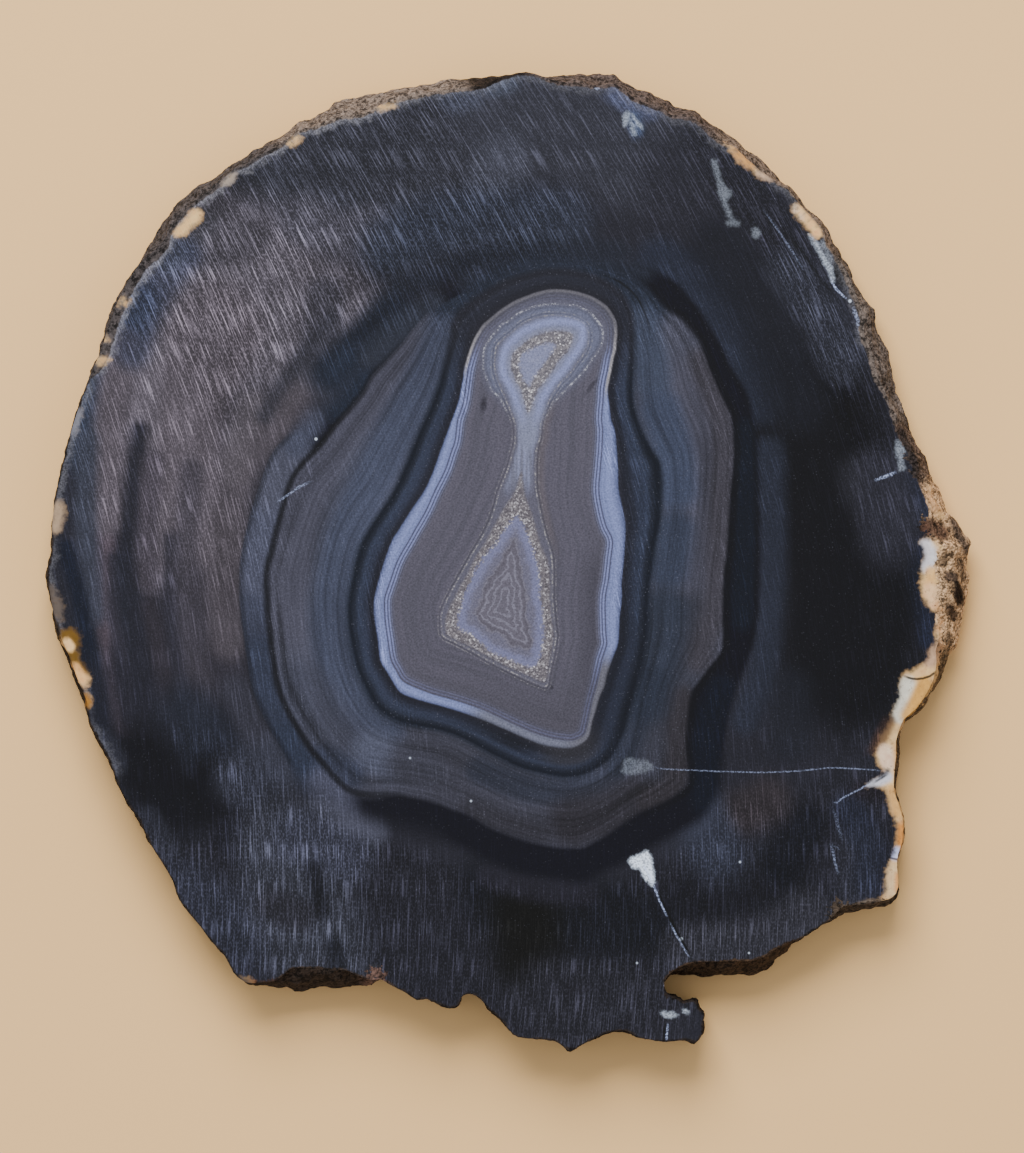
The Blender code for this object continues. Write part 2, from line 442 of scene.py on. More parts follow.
# %% [markdown]
# ### The core and its double line
# The core is the pale pear in the middle. A bright line runs round it, thick on its sides and thin above
# and below, so its two edges are two lines of their own. Outside it lies a black, navy and black double
# line. The share of the way from the core to the double line's far edge places its three stripes, however
# wide the gap between the two is.

# %% The core, the bright line's inner edge and the double line's outer edge
CORE_LINE = [
    (558.6, 289.3), (548, 289.7), (538, 292), (528, 295.4), (516.5, 300), (507.6, 305), (500, 310),
    (493, 315.8), (484, 323.5), (479, 330), (473.4, 340), (469.6, 350), (466.5, 360), (464, 370),
    (463, 380), (458.5, 402), (452, 420), (448.4, 430), (441, 450), (434, 470), (425, 490), (411.5, 510),
    (399, 530), (392.5, 540), (385, 560), (379, 580), (376.4, 590), (374.3, 600), (374, 610), (375, 620),
    (378, 640), (380.5, 660), (386, 670), (392, 680), (398.4, 690), (404.6, 694.6), (420, 700),
    (440, 705.5), (460, 711.5), (478, 718), (494, 724.5), (510, 731.5), (526, 738.5), (540, 744),
    (553, 747), (565, 748.2), (574, 747.4), (581, 744.4), (587, 739.5), (590.2, 733), (592, 723),
    (595.7, 711), (600, 696), (604.6, 686), (607, 675), (610, 666), (613.6, 655.4), (617, 646.4),
    (618.6, 637.5), (619.3, 618), (621.6, 600), (621.6, 580), (623.6, 560), (624.8, 540), (625.2, 526),
    (622.6, 510), (618.4, 490), (617.7, 470), (616.6, 450), (614.5, 430), (611, 420), (609.6, 410),
    (608.4, 400), (607.7, 390), (609.4, 380), (611.5, 370), (613.5, 359), (615.8, 350), (616.7, 341),
    (617.3, 332), (617, 326), (615.4, 319.6), (612, 313), (607.7, 307), (601.4, 302), (593, 297),
    (581.6, 293), (570, 290.3),
]
BRIGHT_INNER_LINE = [
    (558.6, 292.3), (548, 292.6), (539, 294.8), (529, 298.2), (518, 302.8), (509, 307.6), (502, 312.4),
    (495, 318), (486.3, 325.4), (481.6, 331.5), (476.2, 341), (472.4, 350.8), (469.3, 360.6), (467, 370),
    (465.5, 380), (462.3, 402), (456.6, 420), (454, 440), (450, 452), (444, 470), (434, 490), (425, 510),
    (413.6, 530), (408, 540), (396.6, 560), (389.5, 580), (386, 590), (383.4, 600), (384, 620),
    (386.8, 640), (390, 660), (395.7, 671), (401.4, 680.4), (410, 685.7), (431, 694), (449, 699),
    (467, 704.5), (485, 711), (503, 719.5), (517, 726), (531, 732), (546, 737), (560, 740), (572, 740.8),
    (579, 738.4), (584.4, 734.8), (587, 727.6), (589.5, 716), (592.5, 702), (597, 685.7), (600.4, 671),
    (602.6, 661), (605.5, 652), (608, 643), (607, 632), (606.4, 600), (609.6, 580), (611.8, 560),
    (613.6, 540), (607.3, 526), (603, 510), (600, 490), (601.4, 470), (603, 450), (603.8, 430),
    (602.8, 420), (603.3, 410), (604.3, 400), (604.8, 390), (606.4, 380), (608.6, 369.6), (610.6, 358.4),
    (612.8, 349.6), (613.6, 340.6), (614.2, 332), (613.8, 326.4), (612.6, 320.8), (609.6, 315),
    (605.6, 309.4), (599.6, 304.6), (591.8, 299.8), (580.8, 295.8), (569.6, 293.2),
]
DOUBLE_LINE_OUTSIDE = [
    (570, 270), (548, 270), (525, 274), (505, 281), (490, 289), (476, 298), (463, 308), (453, 322),
    (451, 336), (448, 348), (445, 360), (440, 380), (434, 398), (428, 412), (420, 430), (411, 450),
    (402, 472), (393, 492), (380, 512), (368.5, 530), (360, 545), (355, 562), (351, 583), (348, 600),
    (348, 620), (350, 640), (354, 660), (361, 681), (370, 699), (380, 711), (392, 719), (405, 725),
    (422, 728), (440, 731), (458, 737), (474, 745), (490, 754), (508, 763), (528, 771), (549, 776),
    (566, 778), (585, 775), (602, 766), (613, 755), (622, 738), (628, 720), (633, 700), (639, 680),
    (644, 660), (647, 640), (649, 620), (649, 600), (651, 580), (654, 560), (657, 540), (661, 520),
    (663, 500), (663, 480), (660, 462), (651, 447), (643, 430), (637, 415), (634, 400), (633, 380),
    (634, 360), (634, 340), (633, 322), (629, 305), (620, 292), (607, 282), (590, 274),
]
store_line("core", CORE_LINE)
store_line("bright_inner", BRIGHT_INNER_LINE)
store_line("double_line", DOUBLE_LINE_OUTSIDE, only_near_core=False)

# %% [markdown]
# ### The rings inside the core
# Inside the pear a finer line draws a vase: a round head, a neck and a three-cornered foot. The head has
# a second dotted ring, a lilac filling and a small teardrop of sparkling crystals. The foot has a wide
# crystal band round a lilac heart. Crystal bands need two lines each, an outer and an inner one.

# %% The vase and the dotted ring
VASE_LINE = [
    (545, 315), (530, 319), (518, 326), (510, 333), (502, 339), (496, 346), (494, 359), (494, 369),
    (496, 378), (501, 390), (506, 402), (511, 414), (514, 423), (515, 431), (514.6, 441), (512.7, 450),
    (510, 460), (507, 470), (499, 490), (495, 505), (488, 525), (479.5, 541), (471, 555), (461, 573),
    (452, 589), (445, 603), (441, 614), (441, 626), (442, 635), (447, 639), (460, 645), (476, 654),
    (492, 663), (508, 671), (526, 679.5), (538.6, 685), (545.7, 687), (548.4, 683), (550, 671), (554, 654),
    (556.4, 636), (554.6, 618), (553, 600), (553, 582), (553, 566), (551, 551), (546.6, 537), (542, 519),
    (538.6, 501), (536.4, 488), (536, 470), (537, 450), (539.5, 441), (541, 433), (541, 425.5), (543, 418),
    (546, 410), (549, 402.5), (553, 395), (557, 389), (562, 382), (570, 374.5), (578, 363), (584, 355),
    (588, 346), (589.5, 336), (586, 325), (575, 318), (560, 315),
]
DOTTED_RING_LINE = [
    (558, 303.5), (548, 304), (536, 306), (522, 311), (509, 320), (502, 324), (496, 331), (490, 338),
    (484, 349), (483, 359), (483, 368), (485, 376), (488, 383), (491, 390), (499, 398), (505, 408),
    (511, 420), (515, 436), (521, 450), (530, 450), (537, 436), (543, 423), (551, 408), (559, 397),
    (568, 388), (579, 377), (587, 368), (593, 359), (599, 350), (602, 344), (603, 335), (602, 327),
    (596, 319), (589, 311), (576, 305.4), (569, 304.6),
]
LILAC_LINE = [
    (550, 316), (539.5, 318), (529, 322), (519, 327), (511, 334), (504, 341), (499, 350), (497, 359),
    (497, 369), (499, 378), (504, 387), (509, 397.5), (513, 410), (517, 420), (518.4, 432), (521, 446),
    (528, 452), (534, 446), (538, 436), (539.5, 428), (542, 419), (545, 410), (548, 400), (555, 388.5),
    (561, 381), (569, 372), (575, 363), (581.6, 354), (587, 344), (588.6, 334), (587.6, 326), (583, 321),
    (575, 317.6), (562, 315.6),
]
store_line("vase", VASE_LINE)
store_line("dotted_ring", DOTTED_RING_LINE)
store_line("lilac", LILAC_LINE)

# %% The crystal teardrop and the crystal foot
TEARDROP_OUTSIDE = [
    (552, 330.5), (539.5, 334), (529, 339), (522, 345), (514, 351.5), (511, 359), (511, 367), (513, 374.5),
    (516.5, 383), (520.6, 390), (523, 399), (526, 407), (528, 414), (532, 408), (534, 400), (538, 390),
    (546, 380), (553.5, 369), (560, 359), (567.6, 351.5), (572, 343), (573.6, 335.5), (567.6, 331.4),
    (560, 331),
]
TEARDROP_INSIDE = [
    (547, 343), (537, 346), (529, 350), (522, 355), (519, 363), (521, 372), (524, 381), (529, 386),
    (534, 377), (541, 368), (547, 360.5), (551, 354), (555, 348), (553.5, 343),
]
FOOT_CRYSTALS_OUTSIDE = [
    (521.6, 472), (518, 481), (515.6, 490), (511, 498), (506, 505), (499, 517.5), (491, 532), (483, 546),
    (474, 560), (467, 575), (460, 587), (453, 601), (447.5, 612), (445, 623), (446, 633), (450, 637),
    (460, 642), (476, 650), (492, 659), (508, 667), (526, 675), (540, 681), (546, 681), (548, 671),
    (551, 654), (553.6, 636), (551.6, 616), (550, 600), (550, 580), (548, 562), (541, 546), (536.4, 530),
    (531, 512), (525, 496), (523, 482),
]
FOOT_CRYSTALS_INSIDE = [
    (517, 516), (510, 523), (501, 534), (494, 546), (485, 555), (476, 571), (469, 584), (464, 596),
    (459, 610), (458.4, 621), (461, 629), (471, 635), (481, 643), (492, 652), (506, 659), (521, 664),
    (530, 666.4), (536, 664), (539.5, 654), (543, 641), (544, 627), (542, 609), (540, 600), (539.5, 582),
    (538.6, 566), (534, 555), (530, 541), (524, 526),
]
HEART_LINE = [
    (514, 541), (508, 548), (503, 560), (496, 571), (485, 585), (482, 596), (477, 610), (477, 619),
    (481, 624), (492, 630), (503, 635), (508, 641), (519, 645), (528, 648), (531, 641), (529, 630),
    (527, 618), (526, 598), (521.6, 573), (518, 557),
]
store_line("teardrop_out", TEARDROP_OUTSIDE)
store_line("teardrop_in", TEARDROP_INSIDE)
store_line("foot_out", FOOT_CRYSTALS_OUTSIDE)
store_line("foot_in", FOOT_CRYSTALS_INSIDE)
store_line("heart", HEART_LINE)

# %% [markdown]
# ## The stone's own colours
# Between the sharp lines the colour drifts slowly, from brown mauve through slate blue to near black.
# That is painted the way an airbrush and masking tape would do it. Three colour layers lie at the
# vertices: one for outside the shield, one for the belt between shield and hood, and one inside the
# hood. Each gets soft strokes that may run over its edge, because the shader masks each layer with a
# sharp line later. Colours are written as they look in the photograph and turned into light values.

# %% Colours and soft strokes
CURVE_HEIGHT, CURVE_FOOT, CURVE_SHOULDER = 0.23, 1.254, 1.234
LAMP_LEVEL, HAZE = 1.93, 0.012


def tone(red, green, blue):
    """A colour as it looks, 0 to 255, turned into the light value that a shader wants."""
    light = []
    for part in (red, green, blue):
        part /= 255
        seen = CURVE_HEIGHT * part**CURVE_FOOT / (1 - part) ** CURVE_SHOULDER
        light.append(min(0.95, max(0.002, (seen - HAZE) / LAMP_LEVEL)))
    return (*light, 1.0)


def paint(name, fill, strokes):
    """Makes a colour layer: a fill, and soft strokes laid on it one after another."""
    layer = np.tile(np.array(fill[:3]), (count, 1))
    for colour, strength, width, fade, points in strokes.values():
        amount = (strength * path_amount(points, width, fade))[:, None]
        layer = layer * (1 - amount) + np.array(colour[:3]) * amount
    attribute = slab_mesh.color_attributes.new(name, "FLOAT_COLOR", "POINT")
    flat = np.ones((count, 4), np.float32)
    flat[:, :3] = layer
    attribute.data.foreach_set("color", flat.ravel())
    print(name, "strokes:", len(strokes))


# %% [markdown]
# ### Outside the shield
# The left half is brown mauve with upright stripes, the top and the right are nearly black with a
# breath of blue, and the bottom is dark under its saw marks. Each stroke gives its colour, strength,
# half width, fade and path, the last three in pixels of the photograph.

# %% Paint the outer ground
OUTER_STROKES = {
    "dusk over the top": (tone(60, 61, 73), 0.9, 34, 50, [(300, 180), (380, 160), (540, 120), (640, 150)]),
    "dusk upper right": (tone(46, 46, 56), 0.9, 24, 40, [(680, 180), (740, 220)]),
    "pale over the top": (tone(76, 78, 93), 0.8, 12, 26, [(494, 176), (506, 160)]),
    "mauve upper left": (tone(101, 96, 107), 1.0, 40, 70, [(150, 330), (215, 280), (270, 300), (300, 330)]),
    "pale mauve": (tone(104, 99, 110), 0.6, 10, 30, [(245, 316), (262, 330)]),
    "mauve left": (tone(101, 94, 104), 1.0, 32, 36, [(215, 330), (180, 400), (176, 470), (194, 550)]),
    "mauve left two": (tone(110, 104, 115), 0.8, 8, 18, [(150, 350), (144, 400), (140, 450)]),
    "dusk by the shield": (tone(66, 65, 77), 0.8, 10, 20, [(326, 296), (318, 350), (300, 396)]),
    "blue by the upper left skin": (tone(100, 102, 114), 0.8, 5, 14, [(166, 262), (206, 222)]),
    "dusk upper left": (tone(74, 71, 81), 0.8, 12, 18, [(216, 214), (206, 248), (250, 236)]),
    "mauve upper middle": (tone(86, 84, 97), 0.8, 12, 24, [(304, 218), (336, 236), (372, 232)]),
    "mauve low left": (tone(58, 55, 66), 0.9, 22, 26, [(200, 600), (214, 680)]),
    "brown beside the shield": (tone(86, 80, 89), 0.9, 8, 22, [
        (292, 400), (240, 470), (224, 560), (228, 640),
    ]),
    "mauve beside the shield": (tone(102, 96, 105), 0.7, 7, 14, [(252, 404), (240, 440), (236, 470)]),
    "blue upper edge left": (tone(56, 62, 80), 0.9, 12, 26, [(135, 300), (100, 380), (92, 450)]),
    "mauve edge left": (tone(86, 76, 87), 1.0, 6, 11, [
        (104, 540), (105, 600), (112, 640), (119, 680), (125, 725),
    ]),
    "mauve edge left high": (tone(97, 90, 100), 1.0, 9, 15, [
        (126, 345), (115, 395), (109, 450), (106, 520),
    ]),
    "blue edge left": (tone(62, 65, 80), 0.9, 5, 12, [(88, 440), (86, 510), (90, 560), (95, 615)]),
    "black edge left": (tone(32, 35, 48), 1.0, 4, 9, [
        (66, 548), (70, 565), (80, 600), (88, 650), (96, 690), (104, 740),
    ]),
    "mauve streak low left": (tone(66, 59, 70), 0.7, 3, 9, [(112, 650), (122, 690), (130, 730)]),
    "dark stripe one": (tone(44, 44, 55), 0.95, 5, 9, [
        (140, 430), (134, 480), (131, 520), (128, 560), (136, 620), (143, 680), (148, 740),
    ]),
    "pale stripe one": (tone(84, 78, 90), 0.9, 5, 10, [(153, 460), (147, 540), (149, 585)]),
    "pale stripe one low": (tone(58, 54, 64), 0.9, 4, 9, [(150, 605), (159, 650), (166, 700), (170, 735)]),
    "dark stripe two": (tone(52, 51, 63), 0.85, 5, 9, [(172, 540), (172, 590), (178, 640), (188, 700)]),
    "pale stripe two": (tone(72, 68, 79), 0.8, 6, 12, [(192, 470), (186, 560), (192, 640), (206, 700)]),
    "dark stripe three": (tone(44, 45, 57), 0.8, 5, 10, [(116, 560), (120, 640), (132, 720)]),
    "lower left": (tone(42, 42, 53), 0.6, 24, 40, [(105, 700), (170, 730), (225, 740)]),
    "blue lower left": (tone(42, 45, 58), 0.8, 18, 34, [(190, 720), (215, 760)]),
    "black lower left": (tone(26, 25, 32), 1.0, 16, 40, [(140, 760), (175, 800), (215, 790)]),
    "mauve by the shield low": (tone(60, 60, 73), 0.8, 8, 16, [(236, 690), (252, 722), (262, 750)]),
    "grey bottom left": (tone(58, 60, 76), 0.95, 18, 44, [(180, 905), (240, 945)]),
    "grey low left": (tone(60, 62, 77), 0.9, 14, 30, [(246, 778), (286, 762)]),
    "dark low left two": (tone(36, 36, 46), 0.8, 9, 18, [(232, 838), (244, 852)]),
    "pale by the shield low": (tone(88, 90, 108), 0.9, 7, 16, [(326, 806), (344, 824), (372, 830)]),
    "grey low left three": (tone(76, 78, 96), 0.8, 8, 18, [(264, 904), (276, 920)]),
    "pale low left edge": (tone(68, 70, 86), 0.4, 5, 12, [(104, 742), (116, 762)]),
    "pale bottom left edge": (tone(58, 60, 74), 0.4, 5, 12, [(148, 816), (170, 850)]),
    "grey bottom": (tone(66, 68, 82), 0.9, 26, 44, [(286, 850), (300, 900), (318, 950)]),
    "pale low left": (tone(70, 72, 90), 0.9, 12, 28, [(300, 836), (345, 854)]),
    "dark bottom": (tone(31, 32, 39), 0.9, 30, 40, [(510, 890), (570, 920), (640, 940), (700, 960)]),
    "black bottom": (tone(20, 20, 25), 1.0, 16, 40, [(525, 915), (530, 960)]),
    "mauve under the shield": (tone(44, 43, 54), 0.8, 7, 12, [(490, 876), (530, 888), (585, 893)]),
    "grey bottom tip": (tone(48, 48, 58), 0.9, 30, 40, [(560, 1010), (650, 1010)]),
    "black right of the wedge": (tone(33, 33, 40), 0.9, 18, 30, [(700, 900), (780, 890)]),
    "grey by the wall": (tone(60, 60, 71), 0.8, 10, 26, [(686, 948), (760, 940), (806, 914)]),
    "dark by the smudge": (tone(29, 30, 37), 0.8, 12, 22, [(806, 826), (784, 862)]),
    "slate lower right": (tone(56, 57, 70), 0.8, 9, 22, [(858, 884), (862, 846)]),
    "mauve lower right": (tone(52, 54, 68), 0.7, 20, 34, [(700, 830), (720, 850)]),
    "brown smudge": (tone(60, 54, 59), 0.8, 10, 26, [(745, 812), (768, 800)]),
    "streaky blue": (tone(62, 66, 84), 0.8, 12, 24, [(700, 812), (716, 850)]),
    "dark patch low left": (tone(26, 26, 32), 0.8, 3, 10, [(314, 868), (318, 890), (322, 912)]),
    "dark patch by the wall": (tone(28, 29, 36), 0.7, 3, 10, [(334, 944), (338, 972)]),
    "brown patch low left": (tone(40, 38, 44), 0.6, 8, 18, [(272, 905), (298, 915)]),
    "blue upper left": (tone(62, 68, 92), 0.7, 9, 20, [(182, 255), (150, 300), (132, 350)]),
    "navy outside the shield": (tone(39, 43, 56), 1.0, 10, 22, [(330, 372), (360, 342), (392, 312)]),
    "dark outside the shield": (tone(56, 56, 67), 0.8, 3, 10, [
        (264, 416), (276, 394), (298, 361), (332, 318),
    ]),
    "brown by the right skin": (tone(92, 66, 54), 0.8, 2, 8, [(888, 722), (880, 738), (876, 750)]),
    "blue by the right skin": (tone(54, 62, 92), 0.7, 3, 12, [
        (916, 548), (914, 580), (920, 606), (926, 640),
    ]),
    "blue by the right edge": (tone(50, 56, 80), 0.7, 5, 16, [(908, 485), (918, 515)]),
    "blue low right edge": (tone(42, 46, 64), 0.6, 8, 18, [(850, 810), (870, 850), (870, 880)]),
    "dark low right edge": (tone(40, 36, 42), 0.7, 4, 12, [(880, 792), (862, 790)]),
    "right body": (tone(24, 25, 31), 1.0, 46, 60, [(800, 420), (850, 560), (850, 660)]),
    "blue right band": (tone(48, 52, 68), 0.8, 6, 16, [
        (770, 450), (772, 540), (770, 600), (762, 670), (745, 720),
    ]),
    "slate right band": (tone(38, 40, 50), 0.6, 10, 24, [(790, 690), (790, 740)]),
    "blue over the hood": (tone(44, 48, 64), 0.9, 14, 20, [(660, 262), (705, 290), (738, 345), (760, 400)]),
    "black past the blue": (tone(33, 34, 42), 0.8, 16, 34, [(720, 250), (765, 320), (795, 400)]),
    "dusk over the core": (tone(56, 60, 76), 0.9, 14, 34, [(390, 245), (440, 226), (500, 218), (560, 222)]),
    "dark ring over the core": (tone(42, 45, 57), 0.8, 5, 12, [
        (400, 290), (470, 262), (540, 246), (620, 252),
    ]),
    "edge blue upper right": (tone(60, 62, 76), 0.85, 8, 26, [(790, 270), (820, 310), (842, 360)]),
    "grey right": (tone(58, 58, 70), 0.7, 12, 30, [(870, 480), (890, 520)]),
    "blue by the top edge": (tone(92, 98, 126), 0.8, 3, 14, [(616, 94), (628, 102), (648, 110)]),
    "blue by the fern mark": (tone(80, 94, 124), 0.8, 2, 9, [(633, 118), (637, 130)]),
    "blue by the top edge two": (tone(84, 90, 108), 0.8, 6, 12, [(496, 84), (506, 80)]),
    "blue by the top edge three": (tone(76, 80, 98), 0.7, 8, 14, [(455, 98), (470, 94)]),
    "slate right edge": (tone(50, 50, 62), 0.7, 14, 30, [(890, 470), (890, 540)]),
}
paint("outer_ground", tone(44, 44, 54), OUTER_STROKES)

# %% [markdown]
# ### The belt and the ground inside the hood
# The belt is slate blue on the left and black to navy elsewhere. Inside the hood, blue lies next to the
# double line and turns to grey mauve further out, with a brown tinge at the hood's right edge.

# %% Paint the belt and the inner ground
BELT_STROKES = {
    "slate left": (tone(84, 87, 107), 1.0, 22, 14, [(262, 500), (252, 560), (252, 590)]),
    "slate left middle": (tone(68, 72, 92), 0.9, 20, 16, [(250, 622), (256, 650)]),
    "slate low left": (tone(57, 62, 82), 1.0, 22, 20, [(258, 668), (288, 738)]),
    "slate up left": (tone(86, 88, 106), 0.9, 12, 16, [(268, 490), (290, 452)]),
    "slate fading down": (tone(52, 58, 78), 0.9, 14, 20, [(290, 745), (320, 785)]),
    "pale fading down": (tone(84, 86, 106), 0.9, 9, 22, [(328, 786), (340, 826)]),
    "navy upper left": (tone(40, 46, 62), 0.9, 12, 20, [(336, 400), (352, 374)]),
    "slate up left end": (tone(76, 80, 100), 0.9, 6, 12, [(296, 446), (312, 420)]),
    "navy over the hood left": (tone(52, 56, 70), 0.9, 8, 16, [(372, 352), (400, 328), (430, 306)]),
    "blue breath upper left": (tone(54, 64, 88), 0.6, 6, 14, [(326, 365), (342, 346)]),
    "navy top": (tone(46, 50, 64), 0.8, 6, 16, [(470, 280), (520, 262), (580, 258), (640, 268)]),
    "navy right": (tone(29, 32, 42), 1.0, 7, 8, [(746, 430), (746, 500), (744, 560), (742, 620)]),
    "navy below right": (tone(28, 31, 42), 0.8, 8, 14, [(722, 690), (706, 740), (706, 800)]),
}
paint("belt_ground", tone(26, 27, 35), BELT_STROKES)

INNER_STROKES = {
    "dusk at the top": (tone(44, 49, 64), 1.0, 16, 22, [
        (455, 310), (500, 278), (560, 266), (615, 276), (645, 300),
    ]),
    "grey left": (tone(78, 78, 94), 0.9, 14, 22, [
        (400, 350), (352, 420), (315, 490), (298, 560), (296, 620),
    ]),
    "light streak left": (tone(82, 84, 102), 0.8, 5, 10, [
        (372, 440), (338, 500), (322, 560), (318, 640), (340, 710),
    ]),
    "blue left": (tone(71, 76, 97), 1.0, 14, 16, [
        (446, 338), (424, 384), (398, 430), (368, 490), (346, 540), (334, 600), (336, 650), (352, 700),
        (384, 735),
    ]),
    "mauve lower left": (tone(66, 68, 84), 0.8, 16, 26, [(300, 690), (340, 745)]),
    "pale lower left": (tone(88, 92, 112), 1.0, 10, 20, [(372, 752), (400, 762), (424, 770)]),
    "blue low left": (tone(58, 64, 86), 0.7, 8, 14, [(322, 760), (350, 775)]),
    "grey bottom": (tone(64, 64, 77), 0.9, 20, 26, [(420, 765), (500, 800), (560, 815)]),
    "navy under the core": (tone(52, 56, 72), 0.8, 8, 12, [(480, 770), (540, 790), (610, 780)]),
    "brown bottom": (tone(48, 46, 53), 0.9, 14, 24, [(575, 822), (612, 812), (650, 790)]),
    "brown low middle": (tone(52, 51, 60), 0.8, 5, 12, [(470, 808), (500, 822), (540, 833)]),
    "grey right": (tone(79, 79, 95), 1.0, 16, 26, [(688, 392), (706, 430), (706, 520), (700, 590)]),
    "grey low right": (tone(60, 61, 74), 1.0, 16, 22, [(690, 620), (668, 690), (662, 760)]),
    "brown edge right": (tone(66, 63, 72), 0.8, 6, 14, [
        (700, 360), (724, 430), (720, 520), (716, 600), (700, 660),
    ]),
    "brown low right": (tone(56, 53, 60), 0.9, 8, 12, [(682, 700), (676, 780), (650, 800)]),
    "blue right top": (tone(70, 77, 98), 1.0, 10, 18, [(640, 326), (646, 350), (652, 380)]),
    "blue right up": (tone(69, 76, 99), 1.0, 12, 18, [(660, 410), (672, 450), (676, 490)]),
    "blue right": (tone(60, 66, 86), 1.0, 12, 18, [(674, 530), (668, 570)]),
    "blue right down": (tone(52, 57, 73), 1.0, 14, 20, [(664, 610), (658, 650), (646, 700)]),
    "navy low right": (tone(44, 49, 64), 0.8, 8, 16, [(648, 680), (634, 720), (620, 760)]),
}
paint("inner_ground", tone(76, 77, 93), INNER_STROKES)

# %% [markdown]
# ### The colour along the bright line
# The bright line round the core is lilac blue on its flanks, cream grey over the head and plain grey
# below. A colour layer of its own lets those colours run into each other.

# %% Paint the bright line
LINE_STROKES = {
    "over the head": (tone(160, 158, 163), 1.0, 8, 24, [
        (470, 352), (484, 322), (516, 299), (558, 288), (594, 297), (616, 326), (611, 372),
    ]),
    "along the bottom": (tone(126, 129, 146), 1.0, 6, 34, [(490, 724), (540, 744), (574, 747)]),
    "low right": (tone(118, 118, 130), 1.0, 6, 26, [(588, 738), (596, 706), (606, 676)]),
}
paint("bright_line", tone(140, 149, 181), LINE_STROKES)

# %% [markdown]
# ### Patches
# White, cream and dark patches have clear outlines. Each kind is stored like a band: the distance to the
# nearest of its outlines, below zero inside. A second number gives that patch's strength, so that a
# faint smear and a solid white wedge can share one colour.

# %% Outlines of patches
PATCH_REACH = 24.0


def store_patches(name, patches):
    """Stores, for some closed outlines, the distance to the nearest one and its strength."""
    nearest = np.full(count, PATCH_REACH)
    strengths = np.zeros(count)
    for strength, points in patches.values():
        corners = np.array(points, float)
        low, high = corners.min(axis=0) - PATCH_REACH, corners.max(axis=0) + PATCH_REACH
        close = (across > low[0]) & (across < high[0]) & (down > low[1]) & (down < high[1])
        distance = signed_distance(points, across[close], down[close])
        strengths[close] = np.where(distance < nearest[close], strength, strengths[close])
        nearest[close] = np.minimum(nearest[close], distance)
    store(name + "_at", nearest)
    store(name + "_strength", strengths)


WHITE_PATCHES = {
    "wedge": (0.85, [
        (629, 860), (638, 855), (646, 851), (650, 855), (652, 862), (653, 870), (655, 878), (653, 886),
        (648, 882), (643, 876), (640, 869), (634, 868),
    ]),
    "fern left": (0.26, [(624, 113), (629, 112), (629, 119), (627, 123), (624, 128), (623, 121)]),
    "fern middle": (0.3, [(631, 123), (633, 123), (635, 129), (636, 136), (633, 134), (632, 129)]),
    "fern right": (0.3, [
        (631, 115), (634, 115), (636, 119), (640, 123), (643, 129), (639, 126), (634, 121),
    ]),
    "streak": (0.13, [
        (711, 161), (716, 160), (719, 169), (721, 178), (725, 186), (730, 190), (731, 196), (727, 200),
        (729, 208), (732, 217), (729, 219), (725, 209), (721, 200), (718, 192), (717, 182), (714, 171),
    ]),
    "streak foot": (0.1, [(726, 222), (732, 219), (739, 221), (740, 225), (733, 226), (727, 225)]),
    "streak dot": (0.13, [(752, 231), (756, 227), (760, 232), (758, 238), (753, 238)]),
    "vein": (0.36, [
        (809, 234), (813, 236), (818, 243), (822, 251), (827, 259), (832, 267), (834, 275), (834, 282),
        (831, 281), (829, 273), (824, 265), (820, 257), (815, 247), (811, 240),
    ]),
    "vein side": (0.16, [
        (822, 240), (826, 244), (829, 252), (833, 260), (830, 262), (826, 254), (822, 246),
    ]),
    "low white": (0.35, [(661, 1012), (667, 1012), (674, 1013), (678, 1016), (670, 1018), (663, 1016)]),
    "low white two": (0.4, [(683, 1009), (688, 1010), (688, 1013), (684, 1013)]),
    "grey patch": (0.085, [
        (625, 759), (629, 757), (640, 760), (649, 760), (653, 765), (652, 770), (636, 774), (623, 774),
        (622, 767),
    ]),
    "right dot": (0.2, [
        (896, 442), (902, 441), (905, 449), (903, 458), (905, 468), (899, 470), (898, 460), (895, 452),
    ]),
}
store_patches("white", WHITE_PATCHES)
DARK_PATCHES = {
    "left spot": (0.9, [(49, 512), (54, 513), (54, 519), (49, 519)]),
    "upper left spot": (0.9, [(96, 347), (103, 346), (109, 351), (102, 356), (96, 355)]),
    "low left spot": (0.85, [(74, 684), (82, 686), (85, 691), (79, 695), (73, 691)]),
    "pits by the vein": (0.75, [
        (836, 259), (843, 262), (849, 269), (851, 280), (846, 287), (838, 283), (834, 271),
    ]),
}
store_patches("dark", DARK_PATCHES)

# %% [markdown]
# ### The cream skin
# Next to the rind the agate has a smooth skin, milky to cream, in places stained orange by iron. It is
# widest on the right. The outlines may run past the slab's edge, because the stone ends there anyway.

